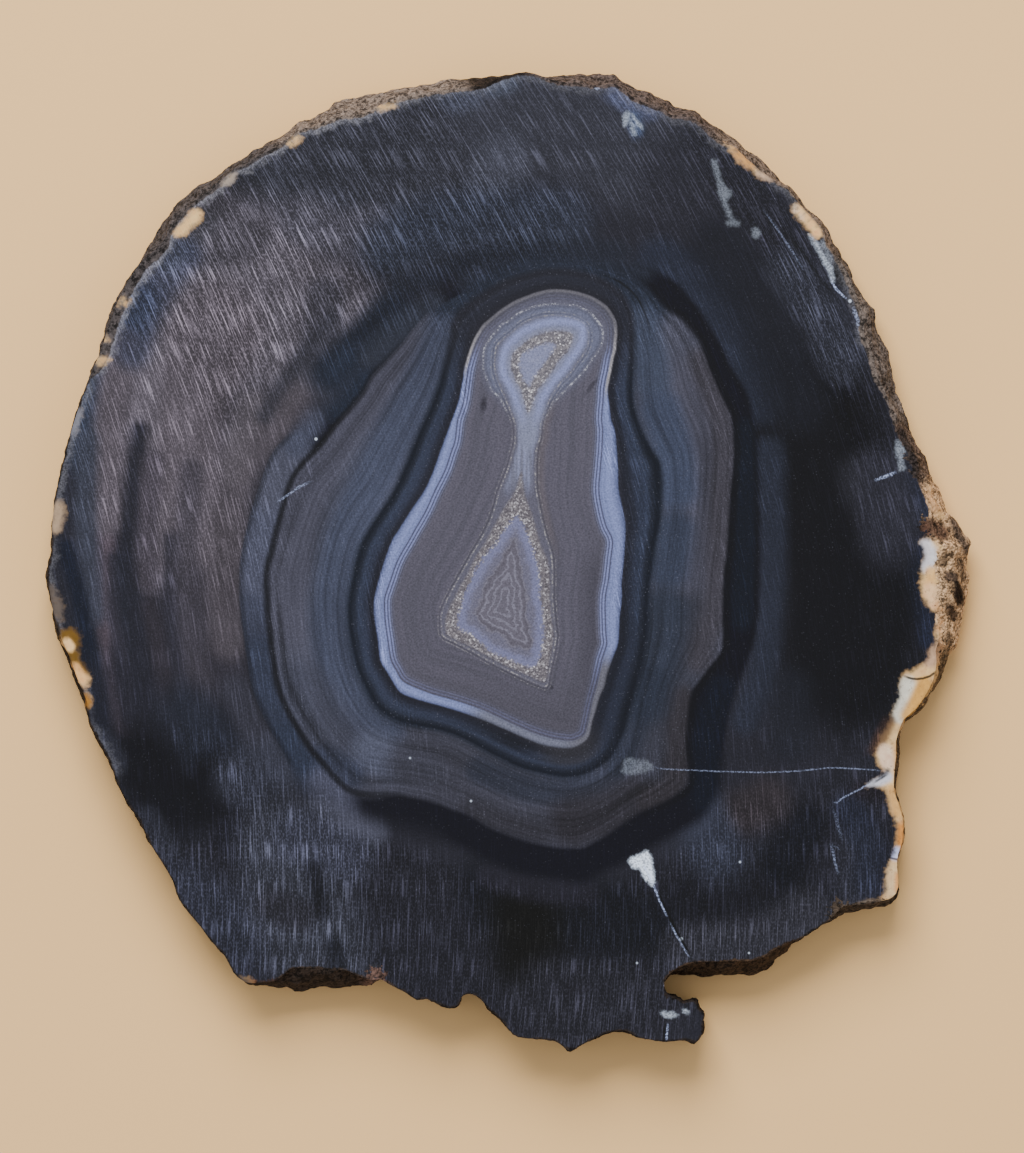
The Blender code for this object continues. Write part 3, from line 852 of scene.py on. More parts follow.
# %% The skin's outlines and colours
SKIN_PATCHES = {
    "right": (1, [
        (922, 541), (926, 552), (925, 560), (922, 568), (922, 577), (921, 587), (924, 597), (929, 605),
        (934, 611), (941, 613), (939, 620), (937, 628), (936, 636), (938, 642), (932, 648), (929, 656),
        (925, 663), (917, 669), (908, 673), (902, 677), (901, 686), (900, 695), (897, 705), (893, 716),
        (889, 724), (884, 733), (880, 742), (877, 750), (876, 757), (879, 764), (885, 769), (889, 772),
        (884, 777), (876, 781), (867, 785), (878, 786), (886, 790), (889, 800), (891, 809), (895, 816),
        (898, 826), (898, 838), (897, 845), (895, 851), (892, 858), (889, 866), (887, 876), (886, 886),
        (886, 895), (883, 903), (900, 912), (930, 890), (930, 780), (990, 660), (990, 560), (960, 540),
        (940, 538),
    ]),
    "right up": (1, [
        (920, 478), (925, 484), (928, 492), (930, 500), (932, 508), (935, 516), (946, 519), (958, 514),
        (966, 500), (952, 476), (934, 470),
    ]),
    "right rim": (1, [(917, 452), (924, 456), (928, 464), (920, 466), (915, 460)]),
    "upper right": (1, [
        (724, 140), (732, 142), (745, 154), (753, 162), (758, 170), (768, 174), (772, 179), (765, 180),
        (757, 175), (750, 168), (741, 162), (735, 156),
    ]),
    "upper right two": (1, [
        (794, 205), (799, 204), (805, 209), (811, 218), (818, 226), (822, 233), (820, 238), (813, 234),
        (806, 225), (798, 217), (793, 212),
    ]),
    "upper left": (1, [
        (174, 234), (178, 226), (186, 219), (192, 211), (198, 209), (202, 213), (199, 222), (191, 228),
        (185, 235), (178, 236),
    ]),
    "upper left two": (1, [(221, 184), (225, 178), (231, 173), (237, 173), (234, 179), (227, 185)]),
    "top left": (1, [(287, 144), (291, 139), (297, 135), (302, 136), (298, 142), (291, 146)]),
    "top left three": (1, [(375, 107), (383, 103), (394, 102), (397, 105), (388, 108), (379, 110)]),
    "left high": (1, [(118, 300), (124, 296), (128, 298), (126, 305), (119, 307)]),
    "left high two": (1, [(103, 337), (108, 334), (109, 340), (104, 343)]),
    "left high three": (1, [(95, 357), (103, 357), (110, 360), (104, 365), (96, 366)]),
    "left grey": (1, [(74, 412), (80, 410), (78, 420), (74, 432), (70, 436), (69, 428)]),
    "left": (1, [(52, 505), (60, 502), (64, 508), (63, 518), (60, 530), (54, 534), (49, 525)]),
    "left brown": (1, [(46, 588), (52, 586), (57, 594), (62, 606), (61, 620), (54, 618), (48, 604)]),
    "left orange": (1, [
        (61, 632), (69, 629), (77, 632), (79, 640), (77, 650), (80, 660), (85, 668), (89, 677), (86, 685),
        (78, 684), (70, 672), (66, 656), (58, 644),
    ]),
    "left orange low": (1, [(79, 696), (86, 694), (92, 700), (89, 707), (82, 706), (77, 700)]),
    "bottom left": (1, [(262, 985), (272, 983), (283, 984), (290, 990), (280, 994), (266, 990)]),
    "bottom left two": (1, [(240, 979), (250, 980), (254, 985), (246, 989), (240, 986)]),
    "lower right": (1, [(860, 904), (866, 901), (873, 902), (868, 906), (861, 907)]),
}
store_patches("skin", SKIN_PATCHES)
SKIN_STROKES = {
    "white by the agate": (tone(196, 196, 200), 0.9, 4, 7, [(925, 545), (931, 556), (927, 566)]),
    "warm": (tone(202, 180, 132), 0.9, 3, 6, [(931, 572), (930, 586)]),
    "pale": (tone(206, 188, 162), 0.9, 4, 6, [(930, 590), (934, 602)]),
    "brown cream": (tone(200, 170, 126), 0.8, 4, 6, [(942, 606), (942, 626)]),
    "pink": (tone(186, 166, 146), 0.9, 5, 6, [(936, 648), (930, 660)]),
    "under pink": (tone(200, 178, 150), 0.8, 3, 5, [(944, 640), (942, 655)]),
    "white shell": (tone(198, 196, 190), 1.0, 5, 7, [(907, 684), (903, 700), (899, 716)]),
    "orange side": (tone(196, 168, 92), 0.9, 4, 7, [(925, 684), (916, 701), (908, 716)]),
    "cream below": (tone(200, 184, 150), 0.9, 4, 6, [(896, 730), (896, 742)]),
    "brown side": (tone(118, 90, 66), 0.9, 3, 6, [(890, 721), (884, 734), (879, 746)]),
    "white below": (tone(204, 192, 178), 1.0, 5, 6, [(885, 752), (889, 764)]),
    "warm side": (tone(200, 176, 128), 0.8, 2, 5, [(898, 745), (898, 768)]),
    "wing": (tone(196, 196, 200), 1.0, 3, 5, [(870, 784), (879, 781), (887, 777)]),
    "cream run": (tone(198, 174, 120), 0.9, 3, 5, [(893, 790), (898, 812)]),
    "orange run": (tone(196, 154, 74), 0.9, 2, 6, [(902, 826), (901, 842)]),
    "blue white": (tone(190, 194, 210), 0.9, 2, 5, [(896, 851), (894, 856)]),
    "cream end": (tone(200, 186, 160), 0.9, 4, 6, [(891, 868), (890, 892)]),
    "orange end": (tone(198, 162, 98), 0.8, 1, 4, [(898, 876), (898, 888)]),
    "white up": (tone(202, 182, 152), 0.9, 4, 6, [(926, 484), (934, 506)]),
    "brown up": (tone(172, 138, 98), 0.7, 3, 6, [(944, 505), (941, 492)]),
    "yellow upper right": (tone(196, 168, 116), 1.0, 3, 8, [(738, 153), (750, 163)]),
    "pale upper right": (tone(196, 180, 160), 1.0, 4, 6, [(762, 175), (770, 178)]),
    "white upper right": (tone(206, 198, 190), 0.8, 2, 4, [(796, 208), (800, 216)]),
    "cream upper right": (tone(206, 188, 152), 1.0, 4, 6, [(806, 212), (818, 232)]),
    "upper left two": (tone(172, 162, 152), 1.0, 8, 8, [(226, 182), (236, 174)]),
    "left grey": (tone(150, 150, 158), 1.0, 8, 10, [(76, 414), (70, 434)]),
    "left cream": (tone(174, 158, 138), 1.0, 8, 10, [(56, 504), (55, 530)]),
    "left brown": (tone(116, 104, 96), 1.0, 8, 12, [(50, 590), (57, 618)]),
    "left orange": (tone(132, 100, 40), 1.0, 8, 10, [(70, 632), (75, 650), (80, 664)]),
    "left white": (tone(208, 192, 156), 1.0, 3, 4, [(67, 643), (70, 647)]),
    "left cream low": (tone(206, 184, 140), 0.9, 3, 5, [(75, 668), (82, 678)]),
    "left orange low": (tone(172, 132, 52), 1.0, 4, 6, [(84, 698), (87, 704)]),
    "bottom orange": (tone(196, 146, 50), 1.0, 8, 10, [(264, 986), (284, 988)]),
    "bottom brown": (tone(120, 102, 84), 1.0, 6, 8, [(244, 984)]),
    "lower right": (tone(150, 136, 116), 1.0, 6, 8, [(866, 904)]),
}
paint("skin_colour", tone(203, 186, 150), SKIN_STROKES)

# %% [markdown]
# ### The rind on the cut
# The granular rind also shows on the sawn face, as a strip along the edge and as a wide crust on the
# right. Outlines give the crust, a stored width gives the strip, and a colour layer gives the rind's
# average colour from place to place. A pale fringe of new quartz lies just inside the strip.

# %% The rind's outlines, width and colours
RIND_PATCHES = {
    "shoulder": (1, [
        (903, 428), (906, 440), (910, 450), (905, 457), (908, 466), (913, 474), (919, 480), (932, 484),
        (950, 470), (940, 440), (920, 420),
    ]),
    "bite": (1, [
        (921, 521), (928, 517), (936, 517), (944, 520), (950, 528), (949, 539), (940, 541), (931, 538),
        (924, 531),
    ]),
    "crust": (1, [
        (948, 518), (955, 512), (966, 516), (990, 540), (990, 600), (975, 640), (962, 660), (954, 664),
        (950, 655), (947, 645), (943, 634), (945, 622), (944, 612), (938, 604), (935, 594), (937, 584),
        (934, 572), (936, 560), (941, 548), (937, 542), (949, 539), (952, 528),
    ]),
    "low strip": (1, [
        (946, 646), (964, 646), (956, 680), (944, 698), (930, 714), (918, 728), (910, 740), (913, 726),
        (919, 711), (928, 696), (939, 680), (945, 664),
    ]),
    "thin strip": (1, [
        (901, 750), (908, 750), (908, 765), (906, 785), (908, 806), (901, 800), (899, 782), (896, 768),
    ]),
    "lower right": (1, [
        (830, 904), (840, 902), (856, 904), (870, 901), (884, 903), (894, 901), (900, 908), (880, 920),
        (850, 924), (832, 920),
    ]),
    "brown spot": (1, [(368, 968), (376, 965), (383, 969), (384, 978), (376, 982), (369, 976)]),
    "notch lip": (1, [(664, 990), (670, 996), (678, 998), (672, 992), (667, 984)]),
}
store_patches("rind", RIND_PATCHES)
RIND_WIDTH = {
    "upper left": (9, 20, 20, [(100, 345), (112, 312), (128, 282), (146, 252)]),
    "upper left two": (3, 16, 20, [(170, 215), (220, 178), (280, 142)]),
    "top": (3, 16, 24, [(320, 112), (400, 94), (560, 76), (650, 98), (720, 136)]),
    "upper right": (5, 14, 20, [(850, 280), (870, 320), (884, 370)]),
    "right": (3, 20, 24, [(960, 520), (960, 640)]),
    "lower right": (0.4, 14, 12, [(906, 716), (900, 760), (908, 830), (906, 890)]),
}
store_strokes("rind_width", 1.2, RIND_WIDTH)
FRINGE = {
    "upper left": (0.34, 14, 16, [
        (96, 352), (128, 290), (160, 238), (200, 198), (250, 162), (300, 132), (400, 98),
    ]),
    "left": (0.2, 10, 20, [(80, 400), (64, 450), (54, 500)]),
    "left low": (0.16, 10, 20, [(46, 560), (56, 620)]),
    "under the orange": (0.22, 12, 12, [(84, 650), (96, 690)]),
    "low left": (0.12, 8, 16, [(98, 735), (112, 760)]),
    "top": (0.12, 10, 14, [(440, 92), (500, 80), (600, 84), (640, 100), (700, 132)]),
    "upper right": (0.14, 10, 14, [(720, 150), (780, 190), (850, 280), (862, 330)]),
}
store_strokes("fringe", 0.0, FRINGE)
RIND_STROKES = {
    "upper left": (tone(78, 72, 72), 1.0, 20, 24, [
        (95, 350), (130, 280), (165, 220), (210, 180), (250, 158),
    ]),
    "top left": (tone(124, 112, 104), 1.0, 16, 24, [(300, 125), (340, 108), (400, 95), (440, 85)]),
    "top": (tone(92, 80, 76), 1.0, 16, 24, [(560, 75), (600, 82), (650, 98), (700, 125)]),
    "upper right": (tone(120, 106, 96), 1.0, 16, 24, [(740, 150), (780, 180), (820, 230)]),
    "right edge up": (tone(110, 100, 94), 1.0, 14, 24, [(850, 280), (880, 350), (895, 400)]),
    "shoulder": (tone(108, 90, 78), 1.0, 12, 12, [(908, 440), (920, 470)]),
    "shoulder inside": (tone(62, 54, 52), 1.0, 4, 6, [(904, 432), (912, 456), (914, 472)]),
    "crust": (tone(180, 160, 132), 1.0, 18, 18, [(948, 500), (956, 530), (956, 580), (954, 625)]),
    "bite": (tone(78, 54, 46), 0.9, 6, 7, [(930, 527), (944, 531)]),
    "outer crust": (tone(104, 88, 76), 1.0, 4, 5, [(960, 520), (972, 545)]),
    "crust spot": (tone(58, 48, 46), 0.9, 4, 4, [(950, 576), (957, 576)]),
    "crust spot two": (tone(38, 30, 28), 1.0, 5, 6, [(962, 588), (964, 596)]),
    "crust spot three": (tone(58, 44, 38), 0.9, 3, 5, [(952, 606), (958, 614)]),
    "crust spot four": (tone(74, 60, 48), 0.8, 2, 4, [(952, 634), (950, 640)]),
    "crust spot five": (tone(70, 56, 46), 0.8, 2, 5, [(942, 562), (947, 556)]),
    "crust spot six": (tone(80, 64, 52), 0.8, 2, 5, [(966, 560), (970, 574)]),
    "low strip": (tone(112, 92, 68), 1.0, 8, 10, [(948, 660), (938, 684), (920, 706), (906, 726)]),
    "thin strip": (tone(104, 84, 62), 1.0, 6, 10, [(901, 750), (900, 790), (906, 830), (903, 870)]),
    "lower right": (tone(78, 66, 56), 1.0, 8, 12, [(890, 905), (840, 910)]),
    "wall right": (tone(70, 54, 42), 1.0, 10, 16, [(684, 966), (720, 964), (760, 966), (790, 950)]),
    "wall left": (tone(60, 50, 44), 1.0, 12, 16, [(290, 978), (330, 980), (368, 984)]),
    "brown spot": (tone(108, 84, 76), 1.0, 6, 8, [(374, 970), (380, 976)]),
}
paint("rind_colour", tone(48, 41, 38), RIND_STROKES)

# %% [markdown]
# ### The strength of the saw marks and their painted sheen
# The saw's marks are strong on the upper left and along the bottom, and almost gone in the black crescent
# under the core. The same strength sets their relief and their painted highlights and shade. Soft strokes
# say how strong, as they did for the two lines.

# %% The strength of the saw marks and their painted sheen
SAW_MARKS_AND_SHEEN = {
    "upper left": (1.0, 90, 80, [(150, 330), (250, 240), (400, 160), (470, 150)]),
    "left": (0.6, 50, 60, [(120, 420), (180, 520)]),
    "top": (0.6, 40, 50, [(520, 120), (620, 140), (690, 180)]),
    "upper right": (1.0, 14, 22, [(712, 140), (760, 210), (800, 280), (850, 380), (870, 440)]),
    "black upper right": (0.25, 22, 24, [(716, 250), (760, 330), (782, 400)]),
    "right": (0.55, 24, 30, [(880, 500), (905, 640), (870, 720)]),
    "bottom left": (0.95, 70, 50, [(190, 830), (270, 890), (380, 900), (430, 950)]),
    "black lower left": (0.4, 20, 34, [(140, 760), (185, 800)]),
    "bottom": (0.9, 60, 40, [(480, 940), (560, 990), (640, 950), (700, 920)]),
    "lower right": (0.8, 50, 40, [(720, 870), (790, 870), (860, 840)]),
    "slick right": (0.2, 20, 30, [(780, 560), (800, 640), (800, 700)]),
    "black crescent": (0.14, 16, 22, [
        (360, 808), (430, 826), (500, 856), (560, 868), (620, 852), (690, 812),
    ]),
    "inside the hood left": (0.1, 34, 16, [(420, 370), (360, 480), (320, 600), (360, 720)]),
    "inside the hood right": (0.1, 26, 16, [(655, 380), (690, 480), (680, 600), (650, 720)]),
    "under the core": (0.16, 24, 20, [(400, 770), (500, 800), (600, 800)]),
    "core head": (0.0, 60, 16, [(545, 330), (535, 430)]),
    "core": (0.0, 104, 16, [(510, 520), (496, 620), (520, 670)]),
}
store_strokes("saw_marks", 0.34, SAW_MARKS_AND_SHEEN)

# %% [markdown]
# ### Cracks
# A crack is thinner than a square of the mesh, but its distance isn't. Each crack is stored as a signed
# distance, positive on one side and negative on the other, so that the shader finds the place where it
# crosses zero. A second number fades it out at its ends.

# %% Store the cracks
CRACK_REACH = 14.0


def store_cracks(name, cracks):
    """Stores the signed distance to the nearest open line, in its half widths, and its strength."""
    nearest = np.full(count, FAR)
    side = np.full(count, FAR)
    strengths = np.zeros(count)
    for strength, half_width, fade_length, points in cracks.values():
        curve = smooth_curve(points, closed=False)
        steps = np.hypot(*np.diff(curve, axis=0).T)
        travelled = np.concatenate([[0], np.cumsum(steps)])
        for (ax, ay), (bx, by), run in zip(curve, curve[1:], travelled):
            dx, dy = bx - ax, by - ay
            length = math.hypot(dx, dy)
            along = ((across - ax) * dx + (down - ay) * dy) / length
            held = np.clip(along, 0, length)
            away = np.hypot(across - ax - held * dx / length, down - ay - held * dy / length)
            closer = away < nearest
            nearest = np.where(closer, away, nearest)
            offset = ((across - ax) * dy - (down - ay) * dx) / length
            side = np.where(closer, offset / half_width, side)
            ends_at = np.minimum(run + along, travelled[-1] - run - along)
            strengths = np.where(closer, strength * np.clip(ends_at / fade_length, -1, 1), strengths)
    store(name + "_side", np.clip(side, -FAR, FAR))
    store(name + "_strength", np.where(nearest < CRACK_REACH, strengths, 0))


PALE_CRACKS = {
    "long crack": (0.17, 0.65, 14, [
        (652, 766), (663, 769), (689, 770), (721, 771.4), (744, 772), (767, 772.3), (790, 771.4),
        (812, 769.6), (830, 767.8), (850, 768.4), (870, 769.6), (886, 771),
    ]),
    "wedge glint": (0.6, 1.0, 6, [(643, 864), (648, 874), (653, 885)]),
    "wedge tail": (0.5, 1.0, 8, [(651, 879), (655, 889), (659, 899), (663, 908), (668, 917)]),
    "wedge tail low": (0.34, 0.9, 8, [(670, 922), (674, 931), (678, 938), (684, 948), (690, 958)]),
    "skin crack": (0.24, 0.8, 10, [(889, 772), (878, 780), (866, 786), (850, 794), (840, 800), (832, 808)]),
    "blue streak": (0.09, 1.6, 14, [(833, 806), (836, 818), (840, 832), (842, 842)]),
    "bright streak": (0.2, 1.2, 12, [(830, 842), (833, 852), (836, 866), (839, 876)]),
    "vein line": (0.5, 1.0, 8, [(830, 276), (834, 286), (840, 293), (848, 300)]),
    "right dash": (0.4, 1.4, 6, [(874, 481), (884, 477), (897, 472)]),
    "vein end": (0.3, 1.8, 6, [(853, 306), (857, 318), (861, 334)]),
    "curved scratch": (0.22, 1.0, 8, [(276, 503), (288, 495), (299, 487), (312, 481)]),
    "long mark": (0.12, 0.9, 20, [(762, 208), (775, 226), (790, 248), (805, 272)]),
    "notch lip": (0.6, 1.2, 5, [(668, 979), (665, 986), (668, 994)]),
    "top line": (0.5, 1.2, 5, [(594, 87), (598, 89), (604, 84)]),
    "tip line": (0.4, 1.0, 6, [(668, 1022), (667, 1034), (666, 1044)]),
}
store_cracks("pale_crack", PALE_CRACKS)
DARK_CRACKS = {
    "beside the wedge tail": (0.9, 1.2, 8, [
        (656, 890), (664, 905), (671, 920), (678, 934), (685, 946), (691, 957),
    ]),
    "in the blue": (0.6, 0.9, 12, [
        (604, 274), (623, 284), (636.5, 297), (644, 312), (649, 326), (651, 336),
    ]),
    "under the pink skin": (0.9, 1.1, 6, [(902, 675), (914, 679), (928, 677), (938, 670)]),
    "skin crack": (0.7, 1.0, 6, [(889, 773), (880, 779), (872, 784)]),
    "low skin crack": (0.8, 1.0, 4, [(888, 857), (895, 859), (903, 860)]),
    "beside the vein": (0.5, 1.6, 14, [(780, 226), (800, 250), (820, 278), (836, 298)]),
    "tip line": (0.8, 1.1, 6, [(665, 1022), (664, 1034), (663, 1046)]),
}
store_cracks("dark_crack", DARK_CRACKS)

# %% [markdown]
# ## The material
# All the bands meet in one material. Its maths is written as ordinary sums: a small class wraps a
# socket, so that 1 - mask or distance * 0.5 adds the Math nodes by itself. Any other node comes from
# one method, which takes the node's type, its settings and its values. A tree built by hand in the
# editor would look the same, but nobody could read it.

# %% A socket that can be added and multiplied
agate = bpy.data.materials.new("banded_agate")
agate.use_nodes = True
agate.node_tree.nodes.clear()


class Shade:
    """A socket of the material that takes part in Python sums."""

    tree = agate.node_tree

    def __init__(self, socket):
        self.socket = socket

    @classmethod
    def node(cls, kind, settings=None, values=None, output=0):
        """Adds a node: first its settings, then the values or links of its sockets."""
        made = cls.tree.nodes.new(kind)
        for name, setting in (settings or {}).items():
            if name == "stops":
                elements = made.color_ramp.elements
                while len(elements) < len(setting):
                    elements.new(0.5)
                for element, (position, colour) in zip(elements, setting):
                    element.position = position
                for element, (position, colour) in zip(elements, setting):
                    element.color = colour if isinstance(colour, tuple) else (colour, colour, colour, 1)
            else:
                setattr(made, name, setting)
        for name, value in (values or {}).items():
            if isinstance(value, Shade):
                cls.tree.links.new(value.socket, made.inputs[name])
            else:
                made.inputs[name].default_value = value
        return cls(made.outputs[output] if made.outputs else None)

    def other(self, output):
        """Another output of the same node."""
        return Shade(self.socket.node.outputs[output])

    def function(self, operation):
        """One Math node on this value alone."""
        return Shade.node("ShaderNodeMath", {"operation": operation}, {0: self})

    def sum(self, operation, first, second):
        """One Math node on two values."""
        return Shade.node("ShaderNodeMath", {"operation": operation}, {0: first, 1: second})

    def __add__(self, other):
        return self.sum("ADD", self, other)

    __radd__ = __add__

    def __sub__(self, other):
        return self.sum("SUBTRACT", self, other)

    def __rsub__(self, other):
        return self.sum("SUBTRACT", other, self)

    def __mul__(self, other):
        return self.sum("MULTIPLY", self, other)

    __rmul__ = __mul__

    def __truediv__(self, other):
        return self.sum("DIVIDE", self, other)

    def __neg__(self):
        return self.sum("MULTIPLY", self, -1.0)


# %% Helpers for masks, mixes and noise
def stored(name):
    """A number kept at the vertices."""
    return Shade.node("ShaderNodeAttribute", {"attribute_name": name}, output="Fac")


def stored_colour(name):
    """A colour kept at the vertices."""
    return Shade.node("ShaderNodeAttribute", {"attribute_name": name}, output="Color")


def rise(value, low, high, full=1.0):
    """Eases from 0 at low to full at high; falls instead where low is the larger."""
    return Shade.node(
        "ShaderNodeMapRange",
        {"interpolation_type": "SMOOTHSTEP"},
        {"Value": value, "From Min": low, "From Max": high, "To Max": full},
    )


def stripe(value, low, high, soft):
    """One between two values, with soft sides."""
    return rise(value, low - soft, low + soft) * rise(value, high + soft, high - soft)


def mix(under, over, amount, how="MIX"):
    """Lays one colour over another."""
    return Shade.node(
        "ShaderNodeMix",
        {"data_type": "RGBA", "blend_type": how, "clamp_factor": True},
        {0: amount, 6: under, 7: over},
        output=2,
    )


def ramp(value, *stops):
    """A colour for each value from 0 to 1, from stops of a position and a colour or a brightness."""
    return Shade.node("ShaderNodeValToRGB", {"stops": stops}, {0: value})


def grey(value):
    """The same number in a colour's three parts."""
    return Shade.node("ShaderNodeCombineColor", {}, {0: value, 1: value, 2: value})


def cloud(vector, scale, detail=2.0, roughness=0.5):
    """Smooth noise from 0 to 1."""
    values = {"Vector": vector, "Scale": scale, "Detail": detail, "Roughness": roughness}
    return Shade.node("ShaderNodeTexNoise", {}, values, output="Fac")


def vector_sum(operation, first, second, output=0):
    """One Vector Math node."""
    settings = {"operation": operation}
    return Shade.node("ShaderNodeVectorMath", settings, {0: first, 1: second}, output=output)


def point(x, y, z=0.0):
    """A vector from three numbers."""
    return Shade.node("ShaderNodeCombineXYZ", {}, {0: x, 1: y, 2: z})


# %% [markdown]
# ### A ruler for the patterns
# Noise and crystals need a place to read. Object coordinates stay with the stone from every side, and
# in pixels of the photograph they share the scale of the distances above.

# %% Places in the photograph's pixels
place = Shade.node("ShaderNodeTexCoord", output="Object")
ruler = vector_sum("MULTIPLY", place, (PIXELS_PER_METRE,) * 3)
across_at = Shade.node("ShaderNodeSeparateXYZ", {}, {0: ruler})
height_at = across_at.other(1)
wobble = cloud(ruler, 0.035, 1.0) - 0.5
tremble = cloud(ruler, 0.3, 1.0) - 0.5
ragged = cloud(ruler, 0.16, 2.0, 0.6) - 0.5
fine_grain = cloud(ruler, 0.55, 1.0, 0.6)

# %% [markdown]
# ### The saw's arcs
# A slab saw's blade is a disc, and the stone is pushed past it. So every scratch is an arc of the blade's
# own radius, and each arc is the one before it, moved a little to the side. How far a point lies past
# its arc, and how high, are the two coordinates of the scratches. Noise that is narrow in the first and
# long in the second gives thousands of them. Arcs round one shared centre would be too upright on the
# right.

# %% Scratches along the saw's arcs, with painted highlights
SAW_LEVEL, SAW_RADIUS = 880, 1440
above_saw = height_at - (MIDDLE_DOWN - SAW_LEVEL)
past_arc = across_at - (SAW_RADIUS**2 - above_saw * above_saw).function("SQRT")
marks = stored("saw_marks")
fine_lines = rise(cloud(point(past_arc * 0.78, height_at * 0.036, 1.0), 1.0, 0.0), 0.48, 0.68)
glint_lines = rise(cloud(point(past_arc * 0.62, height_at * 0.026, 5.0), 1.0, 0.0), 0.64, 0.74)
grit = rise(cloud(point(past_arc * 0.80, height_at * 0.34, 11.0), 1.0, 0.0), 0.50, 0.72)
# Painted highlight and shade: the scratch lines lighten the colour, as grooves catching the light would,
# and the ground between them is darkened.
saw_glints = fine_lines * 0.7 + glint_lines * 1.6 + grit * 0.7
saw_sheen_gain = 1.0 + marks * (saw_glints * 1.4 - 0.55)

# %% [markdown]
# ### Grains
# Quartz crystals, fine white specks and the rind's grains are all cells with a random value each. One
# set of cells serves for the three, because they lie in different places and nobody sees that they
# share it. Of the specks only the highest values are kept.

# %% Cells for the crystals, the specks and the grains
CELL_SCALE = 0.62
cell_values = {"Vector": ruler, "Scale": CELL_SCALE}
crystal_cells = Shade.node("ShaderNodeTexVoronoi", {"feature": "F1"}, cell_values)
crystal_value = Shade.node("ShaderNodeSeparateColor", {}, {0: crystal_cells.other("Color")})
specks = rise(crystal_value, 0.88, 1.0) * rise(crystal_cells, 0.55, 0.2)

# %% [markdown]
# ### The outer bands
# Masks from the stored distances lay the three painted grounds over each other. The dark lines at the
# shield and the hood are thin falls of brightness right at their distances.

# %% Grounds and dark lines
shield_at = stored("shield") + 3.0 * wobble
hood_at = stored("hood") + 2.0 * wobble
shield_softness = stored("shield_softness")
hood_softness = stored("hood_softness")
inside_shield = rise(shield_at, shield_softness, -shield_softness)
inside_hood = rise(hood_at, hood_softness, -hood_softness)
ground = mix(stored_colour("outer_ground"), stored_colour("belt_ground"), inside_shield)
ground = mix(ground, stored_colour("inner_ground"), inside_hood)

left_side = rise(across_at, -60.0, -190.0)
right_side = rise(across_at, 90.0, 190.0)
sharp_shield = rise(shield_softness, 8.0, 2.0)
shield_edge = stripe(shield_at, -4.0, 1.0, 2.5) * left_side * sharp_shield
hood_edge = stripe(hood_at, -3.5, 3.0, 2.5) * left_side
second_line = stripe(hood_at, -14.0, -9.5, 2.0) * left_side * rise(height_at, -20.0, -60.0)
outer_black = stripe(hood_at, -0.5, 7.0, 2.5) * right_side
shield_black = stripe(shield_at, -5.0, -1.0, 2.5) * right_side * rise(height_at, -110.0, -60.0)
dark_lines = (shield_edge * 0.5 + hood_edge * 0.85) + (second_line * 0.5 + outer_black * 0.6)
dark_lines = dark_lines + shield_black * 0.4
ground = mix(ground, tone(22, 23, 30), dark_lines)

# %% Fine streaks that follow the bands
double_at = stored("double_line")
rim_at = stored("rim")
between_lines = double_at / (double_at - hood_at)
slow = vector_sum("MULTIPLY", ruler, (0.006, 0.006, 0.0))
slow_parts = Shade.node("ShaderNodeSeparateXYZ", {}, {0: slow})
slow_height = slow_parts.other(1)
streak_place = rim_at * 0.045
streak_place = streak_place + rise(hood_at, 0.5, -0.5) * (between_lines * 7.0 - streak_place)
wide_streaks = cloud(point(streak_place, slow_parts, slow_height), 1.0, 1.0) - 0.5
fine_streaks = cloud(point(between_lines * 26.0, slow_parts, slow_height), 1.0, 1.0, 0.7)
streaks = (wide_streaks + (fine_streaks - 0.5)) * 1.3 * inside_hood
streaks = streaks + wide_streaks * (1 - inside_shield) * (0.3 + 0.7 * left_side)
ground = mix(ground, grey(0.5 + streaks * 0.7), 0.6, "OVERLAY")

# %% [markdown]
# ### The double line
# Dark, navy, black. The ramp reads the share of the way across, so the stripes keep their order where
# the gap narrows.

# %% The double line round the core
core_at = stored("core") + 0.6 * tremble
share = core_at / (core_at - double_at)
inside_double = rise(double_at + 2.0 * wobble, 5.0, -2.5)
double_colour = ramp(
    share + 0.10 * wobble,
    (0.0, tone(46, 46, 56)), (0.12, tone(40, 41, 52)), (0.22, tone(44, 46, 59)),
    (0.38, tone(54, 59, 79)), (0.60, tone(56, 62, 83)), (0.74, tone(42, 46, 60)),
    (0.86, tone(31, 34, 44)), (0.93, tone(32, 35, 46)), (1.0, tone(42, 47, 61)),
)
low_double = rise(height_at, 20.0, -110.0) * rise(across_at, 20.0, 110.0)
double_colour = mix(double_colour, tone(34, 36, 46), low_double * 0.5)
crown = rise(height_at, 170.0, 240.0)
double_colour = mix(double_colour, tone(43, 43, 52), crown * 0.8)
below_core = rise(height_at, -150.0, -185.0)
brown_below = below_core * stripe(across_at, 36.0, 90.0, 16.0) * rise(share, 0.7, 0.45)
double_colour = mix(double_colour, tone(58, 57, 64), brown_below * 0.7)
black_below = below_core * stripe(across_at, -90.0, 20.0, 18.0) * stripe(share, 0.1, 0.5, 0.1)
double_colour = mix(double_colour, tone(32, 33, 40), black_below * 0.8)
double_streaks = cloud(point(share * 5.0, slow_parts, slow_height), 1.0, 1.0, 0.7)
double_colour = mix(double_colour, grey(double_streaks), 0.35, "OVERLAY")
ground = mix(ground, double_colour, inside_double)

# %% [markdown]
# ### The core
# Inside the pear the stone is an even mauve grey with the faintest rings. Its rim is the bright line,
# lilac blue on the flanks and cream grey above and at the lower right, and beside it run hairlines that
# turn light and dark three times.

